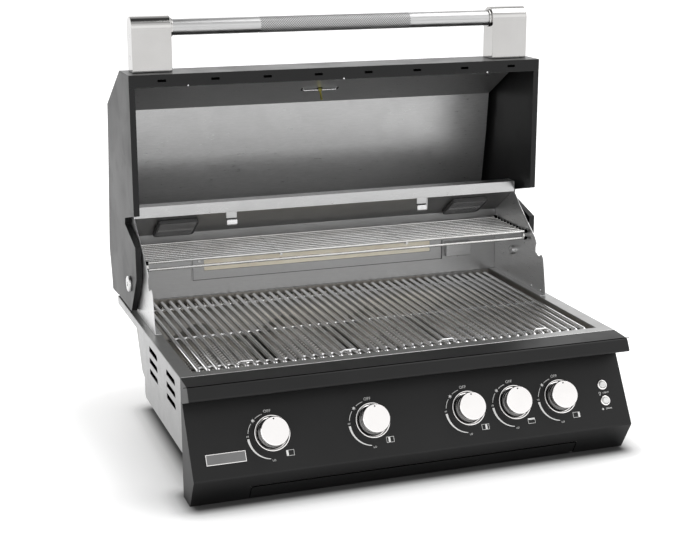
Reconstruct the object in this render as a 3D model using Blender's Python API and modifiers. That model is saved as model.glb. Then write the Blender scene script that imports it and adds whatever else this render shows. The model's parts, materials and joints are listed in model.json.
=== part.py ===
# Built in gas grill with its lid open, as an assembly of separate parts.
# Units are metres. +Z is up, the front of the grill faces -Y and +X is to the right.
# A "depth" runs back from the front edge of the top frame, a "height" up from its top face.
import math

import bmesh
import bpy
from mathutils import Matrix, Vector

# Sheets, clearances and cutting
SHEET = 0.0015
THIN_SHEET = 0.0012
GAP = 0.0003
RUNNING_GAP = 0.0012
OVERRUN = 0.004
EMBED = 0.0005
WELD = 0.00001

# Top frame
TOP_WIDTH = 0.815
TOP_DEPTH = 0.540
TOP_HEIGHT = 0.2115
ORIGIN_DEPTH = 0.262
SIDE_STRIP = 0.02535
FRONT_STRIP = 0.0225
REAR_STRIP = 0.0545
SKIRT = 0.016

# Side panels
SIDE_DROP = 0.1325
SIDE_REAR_DEPTH = 0.298
SIDE_STEP_HEIGHT = 0.095
SIDE_TAIL = 0.044
SIDE_CORNER = 0.008
VENT_LENGTH = 0.067
VENT_FRONT_DEPTH = 0.041
VENT_COLUMN_PITCH = 0.139
VENT_HEIGHT = 0.010
VENT_CORNER = 0.006
VENT_TOP_DROP = 0.018
VENT_ROW_PITCH = 0.0215

# Front ledge
LEDGE_RUN = 0.0473
LEDGE_FALL = 0.0025
LEDGE_NOSE_RUN = 0.012
LEDGE_NOSE_DROP = 0.0238
LEDGE_DROP = 0.042
LEDGE_BACK_RUN = 0.010
LEDGE_RADIUS = 0.006

# Control panel
PANEL_LEAN = 0.067
PANEL_DROP_SHARE = 0.54374
BEVEL_RUN = 0.032
PANEL_RADIUS = 0.004

# Knobs, measured down the panel from its top edge and out from its face
KNOB_LEFT_MARGIN = 0.1435
KNOB_RIGHT_MARGIN = 0.1321
KNOB_SLOTS = (0, 2, 4, 5, 6)
KNOB_LINE = 0.0672
KNOB_RADIUS = 0.025
KNOB_SKIRT_RADIUS = 0.0235
KNOB_FACE = 0.026
KNOB_BASE = 0.005
KNOB_EDGE = 0.0015
KNOB_TURN_STEPS = 28
BEZEL_RADIUS = 0.031
BEZEL_HEIGHT = 0.006
BEZEL_EDGE = 0.002
STEM_RADIUS = 0.004
STEM_TIP = 0.020
STEM_DEPTH = 0.036
PUSH_TRAVEL = 0.003
STEM_HOLE_GAP = 0.002

# Push buttons and badge plate
BUTTON_MARGIN = 0.0425
BUTTON_LINES = (0.0551, 0.0845)
BUTTON_RADIUS = 0.006
BUTTON_RISE = 0.0045
BUTTON_FLANGE = 0.002
BUTTON_BODY = 0.008
BADGE_MARGIN = 0.0595
BADGE_WIDTH = 0.069
BADGE_LINE = 0.0988
BADGE_HEIGHT = 0.019

# Gas manifold and burners
MANIFOLD_DEPTH_IN = 0.048
MANIFOLD_RADIUS = 0.009
MANIFOLD_END = 0.030
INLET_DEPTH = 0.290
INLET_BORE = 0.006
INLET_BORE_DEPTH = 0.014
VALVE_RADIUS = 0.011
VALVE_FRONT = 0.018
NOZZLE_RADIUS = 0.0035
NOZZLE_REACH = 0.012
BURNER_SLOTS = (0, 2, 4, 6)
BURNER_RADIUS = 0.016
BURNER_NECK_RADIUS = 0.010
BURNER_DROP_SHARE = 0.52955
BURNER_MOUTH_DEPTH = 0.0105
BURNER_FRONT_DEPTH = 0.036
BURNER_REAR_GAP = 0.0575
BURNER_SHOULDER = 0.006
TAMER_SPACING = 0.0398
TAMER_TOP_WIDTH = 0.016
TAMER_TOP_SHARE = 0.23641
TAMER_EDGE_SHARE = 0.37825
TAMER_REAR_GAP = 0.0275

# Firebox below the top frame
FIREBOX_SHOULDER_SHARE = 0.56738
FIREBOX_DROP_SHARE = 0.85106
FIREBOX_REAR_DROP = 0.040
FIREBOX_REAR_RUN = 0.051
FIREBOX_REAR_KNEE_SHARE = 0.61466
FIREBOX_FLOOR_FRONT = 0.060
FIREBOX_FLOOR_REAR_RUN = 0.0775
FIREBOX_FLANGE = 0.011
REST_WIDTH = 0.012
REST_THICKNESS = 0.004

# Tray housing and grease tray
HOUSING_MARGIN = 0.1015
HOUSING_REAR_GAP = 0.0555
HOUSING_LIP = 0.014
TRAY_HEIGHT = 0.022
TRAY_REAR_GAP = 0.012
TRAY_FRONT_GAP = 0.0013
TRAY_FRONT_TOP = 0.0315
TRAY_FRONT_FOOT = 0.0035

# Cooking grates
GRATE_COUNT = 4
BARS_PER_GRATE = 11
GRATE_MARGIN = 0.00705
BAR_THICKNESS = 0.0078
BAR_TOP_DROP = 0.002
BAR_FRONT_DEPTH = 0.036
BAR_REAR_GAP = 0.0065
BAR_BEND = 0.006
BAR_TAIL = 0.010
CROSS_ROD = 0.007
CROSS_ROD_SHARES = (0.08, 0.48, 0.92)
LIFT_TAB_LENGTH = 0.005

# Raised sides of the firebox, each with a cradle for a rotisserie spit
CHEEK_MARGIN = 0.0135
CHEEK_LENGTH = 0.237
CHEEK_FLANGE = 0.0115
CHEEK_EDGE_SHARES = (
    (0.000, 0.022), (0.052, 0.251), (0.091, 0.392), (0.128, 0.428), (0.156, 0.436), (0.195, 0.409),
    (0.234, 0.403), (0.286, 0.425), (0.312, 0.431), (0.316, 0.490), (0.292, 0.534), (0.338, 0.594),
    (0.435, 0.649), (0.640, 0.772), (0.831, 0.888), (0.935, 0.965),
)
RACK_TAB = 0.010

# Rear wall, hood and burner
WALL_GAP = 0.0005
WALL_HEIGHT = 0.131
HOOD_RUN = 0.0815
HOOD_RISE = 0.054
HOOD_LIP = 0.020
CLIP_LEFT_MARGIN = 0.1875
CLIP_RIGHT_MARGIN = 0.2015
CLIP_WIDTH = 0.021
CLIP_DROP = 0.026
HOOD_TOP_RUN = 0.028
HOOD_SLOPE_RUN = 0.039
HOOD_SLOPE_DROP = 0.040
COVER_GAP = 0.021
COVER_SHOULDER = 0.130
COVER_FOOT = 0.018
LAMP_MARGIN = 0.088
LAMP_WIDTH = 0.080
LAMP_LENGTH = 0.070
LAMP_HEIGHT = 0.008
LAMP_LOW_MARGIN = 0.006
REAR_BURNER_MARGIN = 0.1255
REAR_BURNER_LOW = 0.032
REAR_BURNER_HIGH = 0.093
REAR_BURNER_BOX = 0.016
CERAMIC_MARGIN = 0.0255
CERAMIC_LOW = 0.0505
CERAMIC_HIGH = 0.0775
CERAMIC_DEEP = 0.008
REAR_BURNER_EDGE = 0.006
IGNITER_GAP = 0.0095
IGNITER_WIDTH = 0.055
IGNITER_LOW = 0.038
IGNITER_HIGH = 0.067
IGNITER_DEEP = 0.010

# Warming rack
RACK_SIDE_GAP = 0.003
RACK_HEIGHT = 0.1143
RACK_FRONT_GAP = 0.152
RACK_DEPTH = 0.141
RACK_WIRES = 9
RACK_WIRE_RADIUS = 0.002
RACK_RAIL_RADIUS = 0.0026
RACK_RAIL_DROP = 0.0135
RACK_ROD_RADIUS = 0.0026
RACK_ROD_INSET = 0.004
RACK_ROD_COUNT = 4

# Lid, in its closed position
LID_OVERHANG = 0.0013
LID_FRONT_DEPTH = -0.0035
LID_BOTTOM = 0.0025
LID_FRONT_HEIGHT = 0.086
LID_LIP = 0.023
CHAMFER_RUN = 0.079
CHAMFER_RISE = 0.137
LID_TOP_RUN = 0.093
LID_TOP_RISE = 0.011
LID_REAR_GAP = 0.0325
LID_CROWN_RISE = 0.032
LID_BACK_RUN = 0.0594
LID_BACK_FALL = 0.017
LID_REAR_RUN = 0.0216
LID_REAR_FALL = 0.002
LID_REAR_FLANGE = 0.058
LID_SIDE_FLANGE = 0.010
LID_REAR_CUT_HEIGHT = 0.0605
LID_REAR_CUT_RUN = 0.076
LID_HEEL_HEIGHT = 0.0005
SPIT_NOTCH_REAR_GAP = 0.173
SPIT_NOTCH_RISE_RUN = 0.026
SPIT_NOTCH_NOSE_RUN = 0.0125
SPIT_NOTCH_FALL_RUN = 0.020
SPIT_NOTCH_HEIGHT = 0.0925
SPIT_NOTCH_STEP = 0.003
LINER_INSET = 0.0185
LINER_FRONT_MARGIN = 0.038
LINER_REAR_MARGIN = 0.016
LID_SLOTS = 8
LID_SLOT_MARGIN = 0.05925
LID_SLOT_LENGTH = 0.016
LID_SLOT_WIDTH = 0.005

# Lid pivot
PIVOT_SETBACK = 0.090
PIVOT_HEIGHT = 0.0615
LID_OPEN_DEGREES = 90.0
BOLT_RADIUS = 0.005
BOLT_HEAD_RADIUS = 0.015
BOLT_HEAD = 0.006
BOLT_CHAMFER = 0.0015
BOLT_SHOULDER_RADIUS = 0.009
BOLT_NUT_RADIUS = 0.009
BOLT_NUT = 0.007

# Handle
POST_MARGIN = 0.0867
POST_WIDTH = 0.0737
POST_THICKNESS = 0.044
HANDLE_HEIGHT = 0.0545
HANDLE_REACH = 0.079
HANDLE_RADIUS = 0.015
HANDLE_WALL = 0.002
HANDLE_SEAT = 0.018
COLLAR_RADIUS = 0.0175
COLLAR_LENGTH = 0.004
POST_WALL = 0.004

# Thermometer
GAUGE_RADIUS = 0.035
GAUGE_HEIGHT = 0.012
GAUGE_RECESS = 0.006
GAUGE_RIM = 0.003
GAUGE_STEM_RADIUS = 0.006
GAUGE_PROBE_RADIUS = 0.0025
GAUGE_PROBE_LENGTH = 0.032
GAUGE_STEM_EXTRA = 0.004
GAUGE_STRAP_WIDTH = 0.076
GAUGE_STRAP_HEIGHT = 0.010
NEEDLE_LENGTH = 0.024
NEEDLE_WIDTH = 0.002
NEEDLE_HUB_RADIUS = 0.003
NEEDLE_REST_DEGREES = 135.0

# Places worked out from the sizes above, across the grill
FRONT_Y = -ORIGIN_DEPTH
HALF_TOP = TOP_WIDTH / 2
HALF_OPENING = HALF_TOP - SIDE_STRIP
HALF_HOUSING = HALF_TOP - HOUSING_MARGIN
HALF_TRAY_FRONT = HALF_HOUSING - TRAY_FRONT_GAP
CHEEK_X = HALF_TOP - CHEEK_MARGIN
HALF_LID = HALF_TOP + LID_OVERHANG
POST_INNER_X = HALF_TOP - POST_MARGIN
LID_SLOT_PITCH = (TOP_WIDTH - 2 * LID_SLOT_MARGIN) / (LID_SLOTS - 1)
KNOB_FIRST_X = KNOB_LEFT_MARGIN - HALF_TOP
KNOB_PITCH = (TOP_WIDTH - KNOB_LEFT_MARGIN - KNOB_RIGHT_MARGIN) / KNOB_SLOTS[-1]
KNOB_XS = tuple(KNOB_FIRST_X + slot * KNOB_PITCH for slot in KNOB_SLOTS)
BURNER_XS = tuple(KNOB_FIRST_X + slot * KNOB_PITCH for slot in BURNER_SLOTS)
BUTTON_X = HALF_TOP - BUTTON_MARGIN
BADGE_X = BADGE_MARGIN - HALF_TOP
TAMER_WIDTH = 2 * KNOB_PITCH - TAMER_SPACING
BAR_PITCH = (HALF_OPENING - GRATE_MARGIN) * 2 / (GRATE_COUNT * BARS_PER_GRATE)
GRATE_WIDTH = BARS_PER_GRATE * BAR_PITCH
HALF_RACK = CHEEK_X - RACK_SIDE_GAP
LAMP_X = CHEEK_X - LAMP_MARGIN
HALF_REAR_BURNER = CHEEK_X - REAR_BURNER_MARGIN
HALF_CERAMIC = HALF_REAR_BURNER - CERAMIC_MARGIN
IGNITER_LEFT = HALF_REAR_BURNER + IGNITER_GAP
CLIP_XS = (CLIP_LEFT_MARGIN - CHEEK_X, CHEEK_X - CLIP_RIGHT_MARGIN)

# Places worked out from the sizes above, in depth and height
OPENING_REAR = TOP_DEPTH - REAR_STRIP
WALL_DEPTH = OPENING_REAR + WALL_GAP
COVER_DEPTH = WALL_DEPTH + COVER_GAP
PIVOT_DEPTH = WALL_DEPTH - PIVOT_SETBACK
CHEEK_FRONT_DEPTH = WALL_DEPTH - CHEEK_LENGTH
RACK_FRONT_DEPTH = WALL_DEPTH - RACK_FRONT_GAP
RACK_WIRE_PITCH = RACK_DEPTH / (RACK_WIRES + 1)
BURNER_REAR_DEPTH = OPENING_REAR - BURNER_REAR_GAP
TAMER_REAR_DEPTH = OPENING_REAR - TAMER_REAR_GAP
BAR_REAR_DEPTH = OPENING_REAR - BAR_REAR_GAP
FIREBOX_FLOOR_REAR = OPENING_REAR - FIREBOX_FLOOR_REAR_RUN
HOUSING_REAR_DEPTH = OPENING_REAR - HOUSING_REAR_GAP
LID_OTHER_RUNS = CHAMFER_RUN + LID_TOP_RUN + LID_BACK_RUN + LID_REAR_RUN
LID_CROWN_RUN = WALL_DEPTH - LID_REAR_GAP - LID_FRONT_DEPTH - LID_OTHER_RUNS
SPIT_NOTCH_REAR = WALL_DEPTH - SPIT_NOTCH_REAR_GAP
SPIT_NOTCH_APEX = SPIT_NOTCH_REAR - SPIT_NOTCH_RISE_RUN
SPIT_NOTCH_NOSE = SPIT_NOTCH_APEX - SPIT_NOTCH_NOSE_RUN
SPIT_NOTCH_FRONT = SPIT_NOTCH_NOSE - SPIT_NOTCH_FALL_RUN
PANEL_DROP = PANEL_DROP_SHARE * TOP_HEIGHT
BURNER_DROP = BURNER_DROP_SHARE * TOP_HEIGHT
TAMER_TOP_DROP = TAMER_TOP_SHARE * TOP_HEIGHT
TAMER_EDGE_DROP = TAMER_EDGE_SHARE * TOP_HEIGHT
FIREBOX_SHOULDER = FIREBOX_SHOULDER_SHARE * TOP_HEIGHT
FIREBOX_DROP = FIREBOX_DROP_SHARE * TOP_HEIGHT
FIREBOX_REAR_KNEE = FIREBOX_REAR_KNEE_SHARE * TOP_HEIGHT
PANEL_ANGLE = math.atan2(PANEL_LEAN, PANEL_DROP)
BEVEL_DROP = TOP_HEIGHT - LEDGE_DROP - PANEL_DROP
BEVEL_ANGLE = math.atan2(BEVEL_RUN, BEVEL_DROP)
PANEL_TOP = (-LEDGE_BACK_RUN, -LEDGE_DROP - GAP)
CREASE = (PANEL_TOP[0] - PANEL_LEAN, -LEDGE_DROP - PANEL_DROP)
HOOD_FRONT = (WALL_DEPTH - HOOD_RUN, WALL_HEIGHT + HOOD_RISE)
BAR_AXIS = -BAR_TOP_DROP - BAR_THICKNESS / 2
BAR_FOOT = BAR_AXIS - BAR_BEND - BAR_TAIL
HANDLE_DEPTH = LID_FRONT_DEPTH - HANDLE_REACH

PARTS = bpy.data.collections.new("built_in_gas_grill")
CUTTERS = bpy.data.collections.new("cutters")


def clear_scene():
    for obj in list(bpy.data.objects):
        bpy.data.objects.remove(obj, do_unlink=True)
    bpy.context.scene.collection.children.link(PARTS)
    bpy.context.scene.collection.children.link(CUTTERS)


def make_material(name, colour, metallic, roughness):
    material = bpy.data.materials.new(name)
    material.use_nodes = True
    shader = material.node_tree.nodes["Principled BSDF"]
    shader.inputs["Base Color"].default_value = (*colour, 1.0)
    shader.inputs["Metallic"].default_value = metallic
    shader.inputs["Roughness"].default_value = roughness
    return material


# Depths and heights as world places, and as places round the lid's pivot
def world(points):
    return [(FRONT_Y + depth, TOP_HEIGHT + height) for depth, height in points]


def on_lid(points):
    return [(depth - PIVOT_DEPTH, height - PIVOT_HEIGHT) for depth, height in points]


def panel_matrix(x, down, out):
    face = Matrix.Rotation(math.pi / 2 - PANEL_ANGLE, 4, "X")
    top = Vector((x, FRONT_Y + PANEL_TOP[0], TOP_HEIGHT + PANEL_TOP[1]))
    return Matrix.Translation(top) @ face @ Matrix.Translation((0, -down, out))


def bevel_matrix(x, down, out):
    face = Matrix.Rotation(math.pi / 2 + BEVEL_ANGLE, 4, "X")
    top = Vector((x, FRONT_Y + CREASE[0], TOP_HEIGHT + CREASE[1]))
    return Matrix.Translation(top) @ face @ Matrix.Translation((0, -down, out))


def hood_matrix(x, up, out):
    face = Matrix.Rotation(math.pi - math.atan2(HOOD_RISE, HOOD_RUN), 4, "X")
    low = Vector((x, FRONT_Y + WALL_DEPTH, TOP_HEIGHT + WALL_HEIGHT))
    return Matrix.Translation(low) @ face @ Matrix.Translation((0, up, out))


def chamfer_matrix():
    slope = math.atan2(CHAMFER_RISE, CHAMFER_RUN)
    depth = LID_FRONT_DEPTH + CHAMFER_RUN / 2
    height = LID_BOTTOM + LID_FRONT_HEIGHT + CHAMFER_RISE / 2
    (y, z), = on_lid([(depth, height)])
    return Matrix.Translation((0, y, z)) @ Matrix.Rotation(slope, 4, "X")


def bevel_place(down, inward):
    place = bevel_matrix(0, down, -inward).translation
    return place.y - FRONT_Y, place.z - TOP_HEIGHT


# Solids from primitives, outlines, profiles and wires
def mesh_object(name, shape):
    mesh = bpy.data.meshes.new(name)
    shape.to_mesh(mesh)
    shape.free()
    obj = bpy.data.objects.new(name, mesh)
    PARTS.objects.link(obj)
    return obj


def block(name, low, high, matrix=Matrix()):
    low = Vector(low)
    high = Vector(high)
    size = Matrix.Diagonal((*(high - low), 1.0))
    shape = bmesh.new()
    bmesh.ops.create_cube(shape, size=1.0, matrix=matrix @ Matrix.Translation((low + high) / 2) @ size)
    return mesh_object(name, shape)


def rod(name, radius, start, end, sides=16):
    start = Vector(start)
    run = Vector(end) - start
    turn = run.to_track_quat("Z", "Y").to_matrix().to_4x4()
    shape = bmesh.new()
    bmesh.ops.create_cone(shape, cap_ends=True, segments=sides, radius1=radius, radius2=radius,
                          depth=run.length, matrix=Matrix.Translation(start + run / 2) @ turn)
    return mesh_object(name, shape)


def from_curve(curve_object, name):
    bpy.context.view_layer.update()
    depsgraph = bpy.context.evaluated_depsgraph_get()
    mesh = bpy.data.meshes.new_from_object(curve_object.evaluated_get(depsgraph))
    mesh.name = name
    shape = bmesh.new()
    shape.from_mesh(mesh)
    bmesh.ops.remove_doubles(shape, verts=shape.verts, dist=WELD)
    shape.transform(curve_object.matrix_world)
    shape.to_mesh(mesh)
    shape.free()
    bpy.data.objects.remove(curve_object, do_unlink=True)
    obj = bpy.data.objects.new(name, mesh)
    PARTS.objects.link(obj)
    return obj


# A flat outline of (y, z) places, filled and given its thickness along X
def prism(name, outline, low_x, high_x):
    curve = bpy.data.curves.new(name + "_outline", "CURVE")
    curve.dimensions = "2D"
    curve.fill_mode = "BOTH"
    curve.extrude = (high_x - low_x) / 2
    spline = curve.splines.new("POLY")
    spline.points.add(len(outline) - 1)
    for point, (y, z) in zip(spline.points, outline):
        point.co = (y, z, 0.0, 1.0)
    spline.use_cyclic_u = True
    flat = bpy.data.objects.new(name + "_outline", curve)
    PARTS.objects.link(flat)
    flat.rotation_euler = (math.pi / 2, 0.0, math.pi / 2)
    flat.location = ((low_x + high_x) / 2, 0.0, 0.0)
    return from_curve(flat, name)


# The same outline with its thickness along Y, from (x, z) places
def cross_prism(name, outline, low_y, high_y):
    obj = prism(name, outline, -high_y, -low_y)
    obj.data.transform(Matrix.Rotation(-math.pi / 2, 4, "Z"))
    return obj


# A sheet folded along an open profile of (y, z) places, thickened on one side
def folded(name, profile, low_x, high_x, thickness):
    shape = bmesh.new()
    points = [shape.verts.new((low_x, y, z)) for y, z in profile]
    edges = [shape.edges.new(pair) for pair in zip(points, points[1:])]
    swept = bmesh.ops.extrude_edge_only(shape, edges=edges)["geom"]
    moved = [item for item in swept if isinstance(item, bmesh.types.BMVert)]
    bmesh.ops.translate(shape, vec=(high_x - low_x, 0, 0), verts=moved)
    obj = mesh_object(name, shape)
    solidify = obj.modifiers.new("sheet", "SOLIDIFY")
    solidify.thickness = thickness
    solidify.offset = 1.0
    solidify.use_even_offset = True
    return obj


# A round part turned from a profile of (radius, height) places
def turned(name, profile, steps, matrix=Matrix(), closed=False):
    shape = bmesh.new()
    points = [shape.verts.new((radius, 0, height)) for radius, height in profile]
    pairs = list(zip(points, points[1:]))
    if closed:
        pairs.append((points[-1], points[0]))
    for pair in pairs:
        shape.edges.new(pair)
    obj = mesh_object(name, shape)
    screw = obj.modifiers.new("turn", "SCREW")
    screw.steps = steps
    screw.render_steps = steps
    screw.use_merge_vertices = True
    screw.merge_threshold = WELD
    screw.use_normal_calculate = False
    obj.matrix_world = matrix
    return obj


# Round or square wires along paths of (x, y, z) places
def wires(name, paths, radius, resolution=1, tilt=0.0):
    curve = bpy.data.curves.new(name + "_wires", "CURVE")
    curve.dimensions = "3D"
    curve.bevel_depth = radius
    curve.bevel_resolution = resolution
    curve.use_fill_caps = True
    for path in paths:
        spline = curve.splines.new("POLY")
        spline.points.add(len(path) - 1)
        for point, place in zip(spline.points, path):
            point.co = (*place, 1.0)
            point.tilt = tilt
    tube = bpy.data.objects.new(name + "_wires", curve)
    PARTS.objects.link(tube)
    return from_curve(tube, name)


def combine(target, other, operation):
    PARTS.objects.unlink(other)
    CUTTERS.objects.link(other)
    other.hide_render = True
    other.display_type = "WIRE"
    modifier = target.modifiers.new(operation.lower(), "BOOLEAN")
    modifier.operation = operation
    modifier.solver = "EXACT"
    modifier.object = other
    return target


def cut(target, other):
    return combine(target, other, "DIFFERENCE")


def fuse(target, other):
    return combine(target, other, "UNION")


def paint(objects, material):
    for obj in objects:
        obj.data.materials.clear()
        obj.data.materials.append(material)


# An outline with its corners rounded, from (y, z, radius) corners
def rounded(corners, steps=3):
    outline = []
    for index, (y, z, radius) in enumerate(corners):
        corner = Vector((y, z))
        if radius == 0:
            outline.append((y, z))
            continue
        before = (Vector(corners[index - 1][:2]) - corner).normalized()
        after = (Vector(corners[(index + 1) % len(corners)][:2]) - corner).normalized()
        half = before.angle(after) / 2
        centre = corner + (before + after).normalized() * (radius / math.sin(half))
        first = corner + before * (radius / math.tan(half)) - centre
        last = corner + after * (radius / math.tan(half)) - centre
        for step in range(steps + 1):
            spoke = first.lerp(last, step / steps).normalized() * radius
            outline.append(tuple(centre + spoke))
    return outline


# An outline or an open profile moved to its left side by a distance
def shifted(points, distance, closed=True):
    count = len(points)
    result = []
    for index in range(count):
        here = Vector(points[index])
        before = Vector(points[index - 1])
        after = Vector(points[(index + 1) % count])
        into = (here - before).normalized()
        out_of = (after - here).normalized()
        if not closed and index == 0:
            into = out_of
        if not closed and index == count - 1:
            out_of = into
        left_in = Vector((-into.y, into.x))
        left_out = Vector((-out_of.y, out_of.x))
        middle = (left_in + left_out).normalized()
        result.append(tuple(here + middle * (distance / middle.dot(left_in))))
    return result


# Top frame: a plate with the cooking opening and a skirt behind
def top_frame():
    top = TOP_HEIGHT
    plate = block("top_frame", (-HALF_TOP, FRONT_Y, top - SHEET), (HALF_TOP, FRONT_Y + TOP_DEPTH, top))
    inside = HALF_TOP - SHEET - GAP
    rear = FRONT_Y + TOP_DEPTH
    skirt = block("rear_skirt", (-inside, rear - SHEET, top - SKIRT), (inside, rear, top - SHEET / 2))
    opening = block("cooking_opening", (-HALF_OPENING, FRONT_Y + FRONT_STRIP, top - SHEET - OVERRUN),
                    (HALF_OPENING, FRONT_Y + OPENING_REAR, top + OVERRUN))
    return cut(fuse(plate, skirt), opening)


# Side panels with two columns of vent slots
def side_outline():
    under = -SHEET - GAP
    tail = SIDE_REAR_DEPTH + SIDE_TAIL
    return rounded([
        (0, under, 0),
        (0, -SIDE_DROP, 0),
        (SIDE_REAR_DEPTH, -SIDE_DROP, SIDE_CORNER),
        (SIDE_REAR_DEPTH, -SIDE_STEP_HEIGHT, 0),
        (SIDE_REAR_DEPTH + SIDE_TAIL / 2, -SIDE_STEP_HEIGHT + SIDE_CORNER, SIDE_TAIL / 4),
        (tail, -SKIRT - SIDE_TAIL / 2, SIDE_TAIL / 4),
        (tail, -SKIRT, 0),
        (TOP_DEPTH, -SKIRT, 0),
        (TOP_DEPTH, under, 0),
    ])


def vent_slot(name, low_x, high_x, depth, drop):
    outline = rounded([
        (depth, -drop - VENT_HEIGHT, 0),
        (depth + VENT_LENGTH, -drop - VENT_HEIGHT, 0),
        (depth + VENT_LENGTH, -drop, 0),
        (depth, -drop, VENT_CORNER),
    ])
    return prism(name, world(outline), low_x - OVERRUN, high_x + OVERRUN)


def side_panel(name, side):
    low_x, high_x = sorted((side * HALF_TOP, side * (HALF_TOP - SHEET)))
    panel = prism(name, world(side_outline()), low_x, high_x)
    for column in range(2):
        for row in range(3):
            depth = VENT_FRONT_DEPTH + column * VENT_COLUMN_PITCH
            drop = VENT_TOP_DROP + row * VENT_ROW_PITCH
            cut(panel, vent_slot(f"{name}_vent_{column}{row}", low_x, high_x, depth, drop))
    return panel


# Front ledge, a hollow rounded nose with closed ends
def ledge_outline():
    nose = -LEDGE_RUN - LEDGE_NOSE_RUN
    return [
        (-GAP, 0, 0),
        (-LEDGE_RUN, -LEDGE_FALL, LEDGE_RADIUS),
        (nose, -LEDGE_NOSE_DROP, LEDGE_RADIUS / 2),
        (-LEDGE_BACK_RUN, -LEDGE_DROP, 0),
        (-GAP, -LEDGE_DROP, 0),
    ]


def front_ledge():
    outline = rounded(ledge_outline())
    ledge = prism("front_ledge", world(outline), -HALF_TOP, HALF_TOP)
    inner = shifted(outline, SHEET)
    inner[0] = (OVERRUN, inner[0][1])
    inner[-1] = (OVERRUN, inner[-1][1])
    hollow = prism("ledge_hollow", world(inner), -HALF_TOP + SHEET, HALF_TOP - SHEET)
    return cut(ledge, hollow)


# Control panel, open at the back, with holes for stems, buttons and tray
def control_panel():
    corners = [
        (-GAP, PANEL_TOP[1], 0),
        (*PANEL_TOP, 0),
        (*CREASE, PANEL_RADIUS),
        (CREASE[0] + BEVEL_RUN, -TOP_HEIGHT, PANEL_RADIUS / 2),
        (-GAP, -TOP_HEIGHT, 0),
    ]
    outline = rounded(corners)
    panel = prism("control_panel", world(outline), -HALF_TOP, HALF_TOP)
    inner = shifted(outline, SHEET)
    inner[0] = (OVERRUN, PANEL_TOP[1] + OVERRUN)
    inner[1] = (inner[1][0] + OVERRUN * math.tan(PANEL_ANGLE), PANEL_TOP[1] + OVERRUN)
    inner[-1] = (OVERRUN, inner[-1][1])
    cut(panel, prism("panel_hollow", world(inner), -HALF_TOP + SHEET, HALF_TOP - SHEET))
    for index, x in enumerate(KNOB_XS):
        start = panel_matrix(x, KNOB_LINE, -SHEET - OVERRUN).translation
        end = panel_matrix(x, KNOB_LINE, OVERRUN).translation
        cut(panel, rod(f"stem_hole_{index + 1}", STEM_RADIUS + STEM_HOLE_GAP, start, end))
    for index, line in enumerate(BUTTON_LINES):
        start = panel_matrix(BUTTON_X, line, -SHEET - OVERRUN).translation
        end = panel_matrix(BUTTON_X, line, OVERRUN).translation
        cut(panel, rod(f"button_hole_{index + 1}", BUTTON_RADIUS + GAP, start, end))
    half = HALF_TRAY_FRONT + RUNNING_GAP
    _, mouth_top = bevel_place(TRAY_FRONT_TOP, SHEET)
    mouth_low = (-half, FRONT_Y + CREASE[0] - OVERRUN, SHEET + GAP)
    mouth_high = (half, FRONT_Y - OVERRUN, TOP_HEIGHT + mouth_top + RUNNING_GAP)
    return cut(panel, block("tray_mouth", mouth_low, mouth_high))


def badge_plate():
    low = (-BADGE_WIDTH / 2, -BADGE_HEIGHT / 2, GAP)
    high = (BADGE_WIDTH / 2, BADGE_HEIGHT / 2, GAP + THIN_SHEET)
    return block("badge_plate", low, high, panel_matrix(BADGE_X, BADGE_LINE, 0))


# Knobs with their bezels and valve stems
def knob_bezel(number, x):
    inner = KNOB_RADIUS + RUNNING_GAP
    profile = [
        (inner, BEZEL_HEIGHT),
        (BEZEL_RADIUS - BEZEL_EDGE, BEZEL_HEIGHT),
        (BEZEL_RADIUS, BEZEL_HEIGHT - BEZEL_EDGE),
        (BEZEL_RADIUS, GAP),
        (inner, GAP),
    ]
    place = panel_matrix(x, KNOB_LINE, 0)
    return turned(f"knob_bezel_{number}", profile, KNOB_TURN_STEPS, place, closed=True)


def valve_stem(number, x):
    profile = [(0, STEM_TIP), (STEM_RADIUS, STEM_TIP), (STEM_RADIUS, -STEM_DEPTH), (0, -STEM_DEPTH)]
    return turned(f"valve_stem_{number}", profile, 12, panel_matrix(x, KNOB_LINE, 0))


def knob(number, x):
    socket = STEM_RADIUS + GAP
    profile = [
        (0, KNOB_FACE),
        (KNOB_RADIUS - KNOB_EDGE, KNOB_FACE),
        (KNOB_RADIUS, KNOB_FACE - KNOB_EDGE),
        (KNOB_SKIRT_RADIUS, KNOB_BASE),
        (socket, KNOB_BASE),
        (socket, STEM_TIP + GAP),
        (0, STEM_TIP + GAP),
    ]
    return turned(f"knob_{number}", profile, KNOB_TURN_STEPS, panel_matrix(x, KNOB_LINE, 0))


def push_button(name, line):
    flange_top = -SHEET - GAP
    profile = [
        (0, BUTTON_RISE),
        (BUTTON_RADIUS, BUTTON_RISE),
        (BUTTON_RADIUS, flange_top),
        (BUTTON_RADIUS + BUTTON_FLANGE, flange_top),
        (BUTTON_RADIUS + BUTTON_FLANGE, flange_top - BUTTON_BODY),
        (0, flange_top - BUTTON_BODY),
    ]
    return turned(name, profile, 16, panel_matrix(BUTTON_X, line, 0))


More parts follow.
